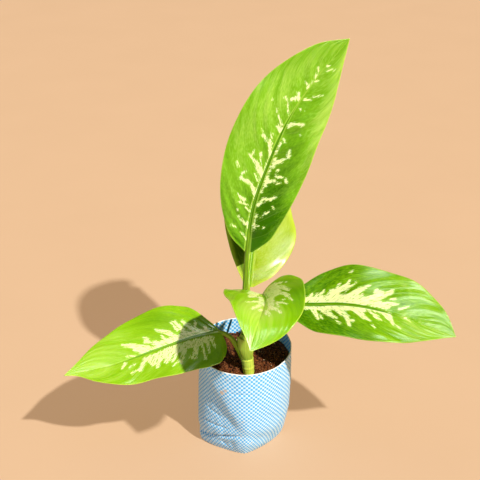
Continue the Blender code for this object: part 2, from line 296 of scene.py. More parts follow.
def lay_grid(columns: int, rows: int, place: Callable[[Array, Array], Skin]) -> BMesh:
    """Lays a grid of faces over a surface and welds it where its sides meet.

    Args:
        columns: Faces across.
        rows: Faces along.
        place: Gives the surface at two arrays of shares, across and along.

    Returns:
        The mesh, with the flat map and the marks as its layers.
    """
    probe = place(np.array([0.4, 0.6]), np.array([0.4, 0.6]))
    mesh = bmesh.new()
    for mark in probe.marks:
        mesh.verts.layers.float.new(mark.value)
    mesh.loops.layers.uv.new(MAP_NAME)
    bmesh.ops.create_grid(mesh, x_segments=columns, y_segments=rows, size=0.5)
    corners = np.clip(np.array([vert.co[:2] for vert in mesh.verts]) + 0.5, 0, 1)
    skin = place(corners[:, 0], corners[:, 1])
    mesh.verts.index_update()
    flat_map = mesh.loops.layers.uv[MAP_NAME]
    for face in mesh.faces:
        face.smooth = True
        for loop in face.loops:
            loop[flat_map].uv = skin.flat[loop.vert.index]
    for mark, values in skin.marks.items():
        layer = mesh.verts.layers.float[mark.value]
        for vert, value in zip(mesh.verts, values):
            vert[layer] = value
    for vert, point in zip(mesh.verts, skin.points):
        vert.co = point
    bmesh.ops.remove_doubles(mesh, verts=mesh.verts, dist=WELD)
    return mesh


def close_ends(mesh: BMesh) -> BMesh:
    """Fills the open ends and turns the faces outwards.

    Args:
        mesh: The mesh.

    Returns:
        The same mesh.
    """
    filled = bmesh.ops.holes_fill(mesh, edges=mesh.edges, sides=0)
    for face in filled["faces"]:
        face.smooth = True
    bmesh.ops.recalc_face_normals(mesh, faces=mesh.faces)
    return mesh


def lay_tube(path: Array, radii: Array, sides: int) -> BMesh:
    """Lays a round bar along a path.

    Args:
        path: The points along its middle.
        radii: The radius at each point.
        sides: Faces round it.

    Returns:
        The closed mesh.
    """
    tangents = unit(np.gradient(path, axis=0))
    side = unit(np.cross(tangents[0], (0.0, 1.0, 0.0)))
    sideways = []
    for tangent in tangents:
        side = unit(side - tangent * (side @ tangent))
        sideways.append(side)
    sideways = np.array(sideways)
    upwards = np.cross(tangents, sideways)
    rows, run = len(path) - 1, run_along(path)

    def place(s: Array, t: Array) -> Skin:
        """Lays the bar's surface.

        Args:
            s: Shares of the way round.
            t: Shares of the way along.

        Returns:
            The skin.
        """
        at = np.rint(t * rows).astype(int)
        angle = tau * s[:, None]
        spoke = sideways[at] * np.cos(angle) + upwards[at] * np.sin(angle)
        flat = np.stack([s * tau * radii.max(), run[at]], -1)
        return Skin(path[at] + radii[at][:, None] * spoke, flat)

    return close_ends(lay_grid(sides, rows, place))


def add_piece(name: str, mesh: BMesh, finishes: Sequence[Material]) -> Object:
    """Makes an object of a mesh and frees the mesh.

    Args:
        name: The piece's name.
        mesh: Its faces, in place.
        finishes: Its materials, in the order of the faces' numbers.

    Returns:
        The object, at the origin.
    """
    data = bpy.data.meshes.new(name)
    mesh.to_mesh(data)
    mesh.free()
    for finish in finishes:
        data.materials.append(finish)
    piece = bpy.data.objects.new(name, data)
    bpy.context.scene.collection.objects.link(piece)
    return piece


def thicken(piece: Object, thickness: float, offset: float = 0.0) -> Modifier:
    """Gives a sheet a wall, by a modifier.

    Args:
        piece: The sheet.
        thickness: The wall's thickness in metres.
        offset: 0 for a wall on both sides of the sheet, -1 for one behind it.

    Returns:
        The modifier.
    """
    wall = piece.modifiers.new("wall", "SOLIDIFY")
    wall.thickness, wall.offset = thickness, offset
    return wall


def settled(piece: Object) -> Mesh:
    """Applies a piece's modifiers and removes its object.

    Args:
        piece: The piece.

    Returns:
        Its finished mesh.
    """
    data = bpy.data.meshes.new_from_object(piece.evaluated_get(bpy.context.evaluated_depsgraph_get()))
    bpy.data.objects.remove(piece)
    return data


def merge(mesh: BMesh, part: BMesh, slot: int) -> None:
    """Moves the faces of a part into a mesh.

    Args:
        mesh: The mesh that takes them.
        part: The part, which is freed.
        slot: The number of their material.
    """
    for face in part.faces:
        face.material_index = slot
    data = bpy.data.meshes.new("part")
    part.to_mesh(data)
    part.free()
    mesh.from_mesh(data)
    bpy.data.meshes.remove(data)


def fix(piece: Object, node: str) -> Object:
    """Puts a piece on the body in the place of its CAD node and reports it.

    Args:
        piece: The finished piece.
        node: The CAD node that it stands for.

    Returns:
        The piece.
    """
    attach(piece, BODY)
    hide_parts(node)
    LOG.info("%s stands for %s: %d faces", piece.name, node, len(piece.data.polygons))
    return piece


@dataclass(frozen=True)
class WovenPolypropylene:
    """Extruded polypropylene tapes, plain woven in two colours: a fine check with a slight plastic sheen, and
    painted shade along the creases and in the seam.
    """

    white: str = "#d6f0ff"
    blue: str = "#4ab4f6"
    faded: str = "#9ad6fa"
    seam_shade: str = "#02303c"
    stain: str = "#dcc0a2"
    crease_shade: str = "#12425e"
    rim: str = "#ffffff"
    tape_width: float = 2.67 * MM
    tape_height: float = 2.55 * MM
    relief: float = 0.15 * MM
    ragged: float = 0.8

    def build(self) -> Material:
        """Builds the material, which reads the flat map and the marks of the bag.

        Returns:
            The material.
        """
        material, add = new_material("woven_polypropylene")
        flat = add("UVMap", uv_map=MAP_NAME)
        # One unit is one tape, so the check has one square for each crossing, as the cloth has.
        cells = add("Mapping", {"Vector": flat, "Scale": (1 / self.tape_width, 1 / self.tape_height, 1)})
        check = add("TexChecker", {"Vector": cells, "Color1": self.white, "Color2": self.blue, "Scale": 1})
        uneven = add("TexNoise", {"Vector": cells, "Scale": 0.45, "Detail": 2})
        worn = add("MapRange", {"Value": uneven, "From Min": 0.45, "From Max": 0.8, "To Max": 0.15})
        colour = add("Mix", {"Factor": worn, "A": check, "B": self.faded}, data_type="RGBA")
        # A mark is a distance in mm, so the colour turns within about half a millimetre of its edge.
        middle = self.ragged / 2
        coats = []
        for mark, reach, share, tint in (
            # Painted shade along the deep creases.
            (Mark.CREASE, 0.6, 0.8, self.crease_shade),
            (Mark.STAIN, 0.8, 0.8, self.stain),
            # A dark line of painted shade in the gap of the seam.
            (Mark.SEAM, 0.3, 1.0, self.seam_shade),
            (Mark.RIM, 0.3, 1.0, self.rim),
        ):
            spot = add("Attribute", attribute_name=mark.value).outputs["Fac"]
            edge = add("Math", {0: uneven, 1: self.ragged, 2: spot}, operation="MULTIPLY_ADD")
            coats.append((edge, middle + reach, middle - reach, share, tint))
        colour = lay_coats(add, colour, coats)
        split = add("SeparateXYZ", {0: cells})
        bulges = []
        for axis in (0, 1):
            turned = add("Math", {0: split.outputs[axis], 1: pi}, operation="MULTIPLY")
            wave = add("Math", {0: turned}, operation="SINE")
            bulges.append(add("Math", {0: wave}, operation="ABSOLUTE"))
        over_under = {"Factor": check.outputs["Fac"], "A": bulges[0], "B": bulges[1]}
        relief = add("Mix", over_under, data_type="FLOAT")
        bump = add("Bump", {"Height": relief, "Distance": self.relief, "Strength": 0.8})
        return finished(material, {"Base Color": colour, "Normal": bump, "Roughness": 0.42, "IOR": 1.49})


@dataclass(frozen=True)
class CocoPeat:
    """Damp coco peat: matt dark brown, mottled with red-brown pith and near-black wet spots."""

    name: str = "damp_coco_peat"
    dark: str = "#120703"
    middle: str = "#4c260e"
    light: str = "#a0602a"
    mottle: float = 2.6 * MM
    relief: float = 0.8 * MM

    def build(self) -> Material:
        """Builds the material, which reads Object coordinates.

        Returns:
            The material.
        """
        material, add = new_material(self.name)
        place = add("TexCoord").outputs["Object"]
        spots = add("TexNoise", {"Vector": place, "Scale": 1 / self.mottle, "Detail": 4, "Roughness": 0.65})
        browns = add("ValToRGB", {0: spots})
        set_stops(browns.color_ramp, {0.36: self.dark, 0.52: self.middle, 0.68: self.light})
        bump = add("Bump", {"Height": spots, "Distance": self.relief, "Strength": 0.9})
        matt = {"Roughness": 0.85, "Specular IOR Level": 0.2}
        return finished(material, {"Base Color": browns, "Normal": bump} | matt)


@dataclass(frozen=True)
class StemSkin:
    """Living stem skin: smooth, faintly waxy, pale yellow-green with fine darker lines along it."""

    name: str
    pale: str
    deep: str
    streak_width: float = 0.9 * MM
    streak_length: float = 14 * MM
    relief: float = 0.15 * MM

    def build(self) -> Material:
        """Builds the material, which reads the flat map round and along the stem.

        Returns:
            The material.
        """
        material, add = new_material(self.name)
        flat = add("UVMap", uv_map=MAP_NAME)
        drawn = add("Mapping", {"Vector": flat, "Scale": (1 / self.streak_width, 1 / self.streak_length, 1)})
        lines = add("TexNoise", {"Vector": drawn, "Scale": 1, "Detail": 3})
        greens = add("ValToRGB", {0: lines})
        set_stops(greens.color_ramp, {0.3: self.deep, 0.7: self.pale})
        bump = add("Bump", {"Height": lines, "Distance": self.relief, "Strength": 0.6})
        flesh = {"Roughness": 0.38, "IOR": 1.42, "Subsurface Weight": 0.15, "Subsurface Scale": 2 * MM}
        return finished(material, {"Base Color": greens, "Normal": bump} | flesh)


@dataclass(frozen=True)
class LeafSkin:
    """Living leaf skin under a thin wax: glossy greens with cream splashes that feather out along the veins.

    splash is how strongly the cream shows. vein, rib, line and edge are how far the side veins, the midrib,
    the lines beside it and the margin turn to a colour of their own, and mottle is how much small flecks vary
    the green. feather and fleck are how far, in mm, the streaks and the flecks fray the cream. The streaks,
    bands, flecks and clouds have their real sizes, and edge_width is in mm.
    """

    name: str
    deep: str
    middle: str
    pale: str
    cream: str = "#ecf8b6"
    halo: str = "#a4d030"
    rib_green: str = "#6aa81c"
    rib_line: str = "#b8d850"
    edge_green: str = "#cfe455"
    splash: float = 1.0
    vein: float = 0.12
    rib: float = 0.75
    line: float = 0.5
    edge: float = 0.75
    edge_width: float = 1.0
    roughness: float = 0.27
    wax: float = 0.35
    mottle: float = 0.8
    feather: float = 8.0
    fleck: float = 7.0
    streak_size: Pair = (1.0 * MM, 6 * MM)
    band_size: Pair = (11 * MM, 40 * MM)
    fleck_size: float = 2.4 * MM
    cloud_size: float = 22 * MM

    def build(self) -> Material:
        """Builds the material, which reads the flat map and the marks of a blade.

        Returns:
            The material.
        """
        material, add = new_material(self.name)
        flat = add("UVMap", uv_map=MAP_NAME)
        splash, edge, rib, vein, tone = (
            add("Attribute", attribute_name=mark.value).outputs["Fac"]
            for mark in (Mark.CREAM, Mark.EDGE, Mark.RIB, Mark.VEIN, Mark.TONE_SHADE_AND_SHEEN)
        )
        along_veins, along_bands = (
            add("Mapping", {"Vector": flat, "Scale": (1 / width, 1 / length, 1)})
            for width, length in (self.streak_size, self.band_size)
        )
        streaks = add("TexNoise", {"Vector": along_veins, "Scale": 1, "Detail": 3, "Roughness": 0.6})
        bands = add("TexNoise", {"Vector": along_bands, "Scale": 1, "Detail": 1})
        fine = {"Scale": 1 / self.fleck_size, "Detail": 4, "Roughness": 0.65}
        flecks = add("TexNoise", {"Vector": flat} | fine)
        clouds = add("TexNoise", {"Vector": flat, "Scale": 1 / self.cloud_size, "Detail": 3})

        # Green: from deep to pale by the blade's tone, which holds painted shade and painted sheen as well as
        # its own tone, clouded, banded, streaked and flecked.
        for pattern, share in ((clouds, 0.5), (bands, 0.35), (streaks, 0.1), (flecks, self.mottle)):
            tone = add("Math", {0: pattern, 1: share, 2: tone}, operation="MULTIPLY_ADD")
        centred = add("Math", {0: tone, 1: 0.49 + self.mottle / 2}, operation="SUBTRACT")
        green = add("ValToRGB", {0: centred})
        set_stops(green.color_ramp, {0.0: self.deep, 0.5: self.middle, 1.0: self.pale})

        # Cream: the splash's distance, frayed by the streaks and flecks.
        for pattern, reach in ((streaks, self.feather), (flecks, self.fleck)):
            splash = add("Math", {0: pattern, 1: reach, 2: splash}, operation="MULTIPLY_ADD")
        middle = (self.feather + self.fleck) / 2
        spine_green = add("Mix", {"Factor": self.rib, "A": green, "B": self.rib_green}, data_type="RGBA")
        coats = (
            (vein, 0.9, 0.0, self.vein, self.pale),
            (splash, middle + 1.8, middle - 0.4, 0.5 * self.splash, self.halo),
            (rib, 2.1, 1.4, self.line, self.rib_line),
            (splash, middle + 0.35, middle - 0.35, self.splash, self.cream),
            (rib, 1.2, 0.8, 1.0, spine_green),
            (edge, self.edge_width, 0.2, self.edge, self.edge_green),
        )

        # Relief: the fine parallel veins between the side veins, and the cells of the skin.
        fine_veins = add("Math", {0: flecks, 1: 0.3, 2: streaks}, operation="MULTIPLY_ADD")
        bump = add("Bump", {"Height": fine_veins, "Distance": 0.12 * MM, "Strength": 0.25})
        # Wax: thicker in soft patches drawn out along the veins, so that the gloss breaks up.
        patches = add("Math", {0: streaks, 1: 0.4, 2: bands}, operation="MULTIPLY_ADD")
        ends = {"From Min": 0.62, "From Max": 0.85, "To Max": self.wax}
        waxed = add("MapRange", {"Value": patches} | ends, interpolation_type="SMOOTHSTEP")
        gloss = {"Roughness": self.roughness, "IOR": 1.38, "Specular IOR Level": 0.3}
        wax = {"Coat Weight": waxed, "Coat Roughness": 0.22}
        # Flesh: thin and full of water, so light comes through it yellow-green.
        depth = {"Subsurface Radius": (0.7, 1.0, 0.15), "Subsurface Scale": 0.8 * MM}
        flesh = {"Subsurface Weight": 0.6} | depth
        colour = lay_coats(add, green, coats)
        return finished(material, {"Base Color": colour, "Normal": bump} | gloss | wax | flesh)


@dataclass(frozen=True)
class PaperFloor:
    """Matt backdrop paper in a pale warm tone, with the faintest unevenness."""

    colour: str = "#a68f77"
    shade: str = "#9f8971"
    glow: str = "#ffc796"
    glow_strength: float = 0.4

    def build(self) -> Material:
        """Builds the material, which reads Object coordinates.

        Returns:
            The material.
        """
        material, add = new_material("matt_backdrop_paper")
        place = add("TexCoord").outputs["Object"]
        clouds = add("TexNoise", {"Vector": place, "Scale": 6, "Detail": 3})
        paper = add("Mix", {"Factor": clouds, "A": self.colour, "B": self.shade}, data_type="RGBA")
        # A faint glow stands for the light that a room throws back, and keeps the shadows pale.
        glow = {"Emission Color": self.glow, "Emission Strength": self.glow_strength}
        return finished(material, {"Base Color": paper, "Roughness": 0.8} | glow)


@dataclass(frozen=True)
class Section:
    """A level outline of the bag, from a rounded rhombus (roundness 1) to an ellipse (2)."""

    level: float
    centre: Pair
    reach: Pair
    roundness: float


@dataclass(frozen=True)
class Line:
    """A line on the bag's wall from one turn and height to another, with a depth and a half width.

    spread is how many times wider it is on the side below a line that runs to the right.
    """

    start: Pair
    end: Pair
    depth: float
    width: float
    spread: float = 1.0


@dataclass
class GrowBag:
    """The woven bag: an open shell with a flat foot, soft folds, creases and a seam inside its back."""

    wall: float = 1.0 * MM
    girth: float = 0.336
    rim_level: float = 0.1195
    rim_tilt: float = 0.0045
    base_turn: float = radians(7.3)
    columns: int = 340
    rows: int = 125
    # The crinkles: their height, their layers, each a share, a size and a seed, and the share of the bag's
    # height over which they start above the flat foot.
    crinkle: float = 0.45 * MM
    crinkles: tuple[Triple, ...] = ((1.0, 11 * MM, 3.1), (0.5, 5 * MM, 8.4))
    calm_foot: float = 0.03
    skin_step: float = 0.004
    fade: float = 2.4 * MM
    # In mm, the painted shade along a crease reaches out by the gain below for each metre of the crease's
    # depth, less the loss below, so that only deep creases carry it, and the white fold at the rim is
    # rim_fold high.
    crease_shade_gain: float = 600.0
    crease_shade_loss: float = 0.9
    rim_fold: float = 0.6
    mix_gap: float = 0.45 * MM
    seam: Line = Line((0.291, 0.126), (0.318, 0.101), 0.0, 1.2)
    sections: tuple[Section, ...] = (
        Section(0.00, (-0.0035, 0.0020), (0.0465, 0.0355), 1.30),
        Section(0.07, (-0.0030, 0.0020), (0.0490, 0.0395), 1.45),
        Section(0.22, (-0.0015, 0.0025), (0.0515, 0.0450), 1.65),
        Section(0.50, (0.0000, 0.0040), (0.0530, 0.0500), 1.85),
        Section(0.78, (0.0000, 0.0062), (0.0535, 0.0528), 1.95),
        Section(1.00, (0.0000, 0.0080), (0.0535, 0.0540), 2.00),
    )
    folds: tuple[Line, ...] = (
        Line((0.560, 0.108), (0.695, 0.046), 0.0046, 0.0085, 4.0),
        Line((0.52, 0.016), (0.70, 0.013), 0.0018, 0.006),
        Line((0.76, 0.030), (0.93, 0.012), 0.0015, 0.008),
        Line((0.03, 0.030), (0.14, 0.070), 0.0020, 0.011),
        Line((0.28, 0.020), (0.42, 0.050), 0.0020, 0.011),
    )
    creases: tuple[Line, ...] = (
        Line((0.695, 0.0892), (0.795, 0.0885), 0.0007, 0.0011),
        Line((0.615, 0.100), (0.700, 0.052), 0.0004, 0.0022),
        Line((0.520, 0.012), (0.745, 0.030), 0.0022, 0.0017, 1.6),
        Line((0.560, 0.060), (0.665, 0.050), 0.0008, 0.0014, 1.6),
        Line((0.585, 0.072), (0.650, 0.064), 0.0006, 0.0014, 1.6),
        Line((0.545, 0.038), (0.690, 0.036), 0.0010, 0.0014, 1.6),
        Line((0.640, 0.014), (0.700, 0.005), 0.0008, 0.0014),
        Line((0.830, 0.060), (0.930, 0.040), 0.0004, 0.0018),
        Line((0.070, 0.090), (0.200, 0.050), 0.0009, 0.0018),
        Line((0.330, 0.095), (0.450, 0.080), 0.0008, 0.0016),
        Line((0.291, 0.126), (0.318, 0.101), 0.0007, 0.0014),
    )
    # Turn, height and radius in mm of small earthy marks on the cloth.
    stains: tuple[Triple, ...] = (
        (0.672, 0.0880, 2.6),
        (0.686, 0.0920, 1.8),
        (0.690, 0.1065, 0.7),
        (0.745, 0.0530, 0.7),
        (0.742, 0.0290, 0.8),
        (0.790, 0.0190, 0.9),
        (0.905, 0.0700, 0.8),
        (0.210, 0.0410, 1.4),
        (0.420, 0.0780, 1.0),
    )

    def rim_height(self, angle: Array) -> Array:
        """The height of the rim, which tilts up a little at the back."""
        return self.rim_level + self.rim_tilt * np.sin(angle)

    def beside(self, line: Line, turn: Array, height: Array) -> tuple[Array, Array]:
        """Measures how far places on the wall are from a line, and on which side of it.

        Args:
            line: The line on the wall.
            turn: Shares of a turn round the bag.
            height: Heights in metres.

        Returns:
            Distances in metres, with a little added near the ends of a crease, so that it fades out, and
            sides, from -1 above a line that runs to the right to 1 below it.
        """
        start = np.array(line.start)
        along = (np.array(line.end) - start) * (self.girth, 1)
        across = np.stack([((turn - start[0] + 0.5) % 1 - 0.5) * self.girth, height - start[1]], -1)
        share = np.clip(across @ along / (along @ along), 0, 1)
        past = self.fade * np.abs(2 * share - 1) ** 4 if line in self.creases else 0.0
        away = np.linalg.norm(across - share[..., None] * along, axis=-1) + past
        below = across @ unit(np.array([along[1], -along[0]])) / np.maximum(away, WELD)
        return away, np.clip(below, -1, 1)

    def dent(self, turn: Array, height: Array) -> Array:
        """Adds up how far the folds and creases press the wall in.

        Args:
            turn: Shares of a turn.
            height: Heights in metres.

        Returns:
            Depths in metres.
        """
        depth = np.zeros_like(height)
        for line in self.folds + self.creases:
            away, below = self.beside(line, turn, height)
            width = line.width * (1 + (line.spread - 1) * (0.5 + 0.5 * below))
            depth = depth + line.depth * bell(away, width)
        return depth

    def point(self, turn: Array, level: Array) -> Array:
        """Finds points on the outer skin.

        Args:
            turn: Shares of a turn from +X.
            level: Shares of the height.

        Returns:
            The points.
        """
        table = [(*part.centre, *part.reach, part.roundness) for part in self.sections]
        shape = spline([part.level for part in self.sections], table, level)
        angle = tau * turn
        lean = angle - self.base_turn * (1 - level)
        power = shape[..., 4]
        along, across = np.abs(np.cos(lean)) / shape[..., 2], np.abs(np.sin(lean)) / shape[..., 3]
        height = level * self.rim_height(angle)
        reach = (along**power + across**power) ** (-1 / power) - self.dent(turn, height)
        x, y = shape[..., 0] + reach * np.cos(angle), shape[..., 1] + reach * np.sin(angle)
        return np.stack([x, y, height], -1)

    def outward(self, turn: Array, level: Array) -> Array:
        """Finds the directions that the outer skin faces.

        Args:
            turn: Shares of a turn.
            level: Shares of the height.

        Returns:
            The directions.
        """
        round_it = self.point(turn + self.skin_step, level) - self.point(turn - self.skin_step, level)
        above, below = np.minimum(level + self.skin_step, 1), np.maximum(level - self.skin_step, 0)
        return unit(np.cross(round_it, self.point(turn, above) - self.point(turn, below)))

    def inside(self, turn: Array, level: Array) -> Array:
        """Points just clear of the inner skin."""
        return self.point(turn, level) - self.outward(turn, level) * (self.wall + self.mix_gap)

    def skin(self, s: Array, t: Array) -> Skin:
        """Lays the outer skin with its marks.

        Args:
            s: Shares of a turn.
            t: Shares of the height.

        Returns:
            The skin, crinkled a little.
        """
        points = self.point(s, t)
        round_it = np.stack([np.cos(tau * s), np.sin(tau * s)], -1) * self.girth / tau
        height = points[:, 2]
        where = np.column_stack([round_it, height * 0.6])
        calm = smooth(0, self.calm_foot, t)
        points = points + self.outward(s, t) * (self.crinkle * calm * lumpy(where, self.crinkles))[:, None]
        points[:, 2] = np.where(t < WELD, 0.0, points[:, 2])
        stain = crease = np.full_like(s, FAR)
        for turn, level, radius in self.stains:
            spot = Line((turn, level), (turn + 0.001, level), 0, 0)
            stain = np.minimum(stain, self.beside(spot, s, height)[0] / MM - radius)
        # The creases' mark: painted shade along them, reaching further out from the deeper creases.
        for line in self.creases:
            shade_reach = self.crease_shade_loss - self.crease_shade_gain * line.depth
            crease = np.minimum(crease, self.beside(line, s, height)[0] / MM + shade_reach)
        marks = {
            Mark.STAIN: stain,
            # The seam's mark: a dark line of painted shade in the seam's gap.
            Mark.SEAM: np.minimum(self.beside(self.seam, s, height)[0] / MM - self.seam.width, FAR),
            Mark.RIM: np.minimum((self.rim_height(tau * s) - height) / MM - self.rim_fold, FAR),
            Mark.CREASE: crease,
        }
        return Skin(points, np.stack([s * self.girth, height], -1), marks)

    def build(self) -> Object:
        """Builds the bag as one shell with a wall and a flat foot.

        Returns:
            The piece.
        """
        mesh = lay_grid(self.columns, self.rows, self.skin)
        foot = [edge for edge in mesh.edges if edge.is_boundary and max(v.co.z for v in edge.verts) < MM]
        bmesh.ops.holes_fill(mesh, edges=foot, sides=0)
        bmesh.ops.recalc_face_normals(mesh, faces=mesh.faces)
        piece = add_piece("nursery_bag", mesh, [WovenPolypropylene().build()])
        thicken(piece, self.wall, -1).use_even_offset = True
        return fix(piece, "grow_bag")


@dataclass
class GrowingMix:
    """The damp coco peat in the bag, with crumbs, fibres and pale grains lying on its top."""

    bag: GrowBag
    level: float = 0.1035
    slope: float = 0.045
    edge_level: float = 0.86
    floor_height: float = 0.0020
    clod_size: float = 0.013
    clod_height: float = 0.0032
    # Finer lumps on the clods: their height, their size and their seed.
    lumps: tuple[Triple, ...] = ((1.5 * MM, 4.5 * MM, 5.2), (0.9 * MM, 1.9 * MM, 9.7))
    columns: int = 200
    side_rows: int = 24
    top_rows: int = 60
    crumbs: int = 1000
    fibres: int = 260
    grains: int = 46
    # How far things lie from the middle, and the share of that for crumbs and for fibres.
    reach: Pair = (0.0490, 0.0485)
    crumb_spread: float = 0.96
    fibre_spread: float = 0.82
    stem_foot: Pair = (0.0052, -0.0220)
    stem_room: float = 8 * MM

    def height(self, x: Array, y: Array) -> Array:
        """Works out the lumpy top: the same clods as the CAD solid's, with finer lumps on them.

        Args:
            x: Places to the right.
            y: Places to the back.

        Returns:
            Heights in metres.
        """
        flat = np.stack([x, y], -1)
        clods = self.clod_height * grain(flat, self.clod_size)
        return self.level + self.slope * y + clods + lumpy(flat, self.lumps)

    def skin(self, s: Array, t: Array) -> Skin:
        """Lays the mix's skin from under its middle, out, up its side and in over its top.

        Args:
            s: Shares of a turn.
            t: Shares of the way from the middle below to the middle above.

        Returns:
            The skin.
        """
        rows = 2 + self.side_rows + self.top_rows
        step = np.rint(t * rows)
        edge = self.bag.inside(s, np.full_like(s, self.edge_level))
        top_level = self.height(edge[:, 0], edge[:, 1]) / self.bag.rim_height(tau * s)
        low = self.floor_height / self.bag.rim_level
        climb = np.clip((step - 2) / self.side_rows, 0, 1)
        side = self.bag.inside(s, blend((low, top_level), climb))
        under_middle = np.array([*self.bag.sections[0].centre, self.floor_height])
        under = blend((under_middle, side), np.clip(step / 2, 0, 1)[:, None])
        share = 1 - np.clip((step - 2 - self.side_rows) / self.top_rows, 0, 1)
        top_middle = np.array(self.bag.sections[-1].centre)
        over = blend((top_middle, edge[:, :2]), share[:, None])
        top = np.stack([over[:, 0], over[:, 1], self.height(over[:, 0], over[:, 1])], -1)
        on_top = (step >= 2 + self.side_rows)[:, None]
        points = np.where(on_top, top, np.where((step > 2)[:, None], side, under))
        return Skin(points, np.stack([s, t], -1))

    def spots(self, count: int, reach: float, dice: random.Random) -> list[Triple]:
        """Throws places on the top, clear of the stem.

        Args:
            count: How many.
            reach: The furthest share of the way from the middle to the wall.
            dice: The seeded source of chance.

        Returns:
            The places.
        """
        places = []
        middle = self.bag.sections[-1].centre
        while len(places) < count:
            angle, share = tau * dice.random(), reach * dice.random() ** 0.5
            x = middle[0] + self.reach[0] * share * np.cos(angle)
            y = middle[1] + self.reach[1] * share * np.sin(angle)
            if np.hypot(x - self.stem_foot[0], y - self.stem_foot[1]) > self.stem_room:
                places.append((x, y, float(self.height(np.array([x]), np.array([y]))[0])))
        return places

    def scatter_crumbs(self, mesh: BMesh, count: int, sizes: Pair, slot: int, dice: random.Random) -> None:
        """Adds small lumps to the top.

        Args:
            mesh: The mix's mesh.
            count: How many.
            sizes: The smallest and largest radius.
            slot: The number of their material.
            dice: The seeded source of chance.
        """
        for place in self.spots(count, self.crumb_spread, dice):
            radius = blend(sizes, dice.random() ** 2)
            turn = Matrix.Rotation(tau * dice.random(), 4, Vector((dice.random(), dice.random(), 1)))
            stretch = Matrix.Diagonal((1, 0.6 + 0.5 * dice.random(), 0.5 + 0.4 * dice.random(), 1))
            matrix = Matrix.Translation(Vector(place) + Vector((0, 0, radius * 0.25))) @ turn @ stretch
            lump = bmesh.ops.create_icosphere(mesh, subdivisions=1, radius=radius, matrix=matrix)
            for vert in lump["verts"]:
                vert.co += Vector([dice.random() - 0.5 for axis in range(3)]) * radius * 0.35
                for face in vert.link_faces:
                    face.material_index = slot

    def scatter_fibres(self, mesh: BMesh, dice: random.Random) -> None:
        """Adds thin bent coir fibres to the top.

        Args:
            mesh: The mix's mesh.
            dice: The seeded source of chance.
        """
        for x, y, z in self.spots(self.fibres, self.fibre_spread, dice):
            length, angle = (4 + 7 * dice.random()) * MM, tau * dice.random()
            bend, lift = (dice.random() - 0.5) * 1.6, 1.6 * MM * dice.random()
            run = np.linspace(-0.5, 0.5, 7)
            heading = angle + bend * run
            across, along = x + length * run * np.cos(heading), y + length * run * np.sin(heading)
            above = self.height(across, along) + 0.25 * MM + lift * (1 - (2 * run) ** 2)
            radii = np.full(len(run), (0.13 + 0.16 * dice.random()) * MM)
            merge(mesh, lay_tube(np.stack([across, along, above], -1), radii, 5), 2)

    def build(self) -> Object:
        """Builds the mix and what lies on it as one piece.

        Returns:
            The piece.
        """
        dice = random.Random(41)
        rows = 2 + self.side_rows + self.top_rows
        mesh = close_ends(lay_grid(self.columns, rows, self.skin))
        self.scatter_crumbs(mesh, self.crumbs, (0.6 * MM, 3.0 * MM), 1, dice)
        self.scatter_crumbs(mesh, self.grains, (0.5 * MM, 1.2 * MM), 3, dice)
        self.scatter_fibres(mesh, dice)
        finishes = [
            CocoPeat().build(),
            CocoPeat("dry_coir_crumb", "#1e0d05", "#5c3016", "#a46a3a", 1.8 * MM, 0.3 * MM).build(),
            CocoPeat("coir_fibre", "#5a2c14", "#965028", "#cc8a54", 0.9 * MM, 0.1 * MM).build(),
            CocoPeat("pale_husk_grain", "#b08a68", "#dcc0a0", "#f2e2cc", 0.8 * MM, 0.1 * MM).build(),
        ]
        piece = add_piece("coco_peat_mix", mesh, finishes)
        return fix(piece, "soil")


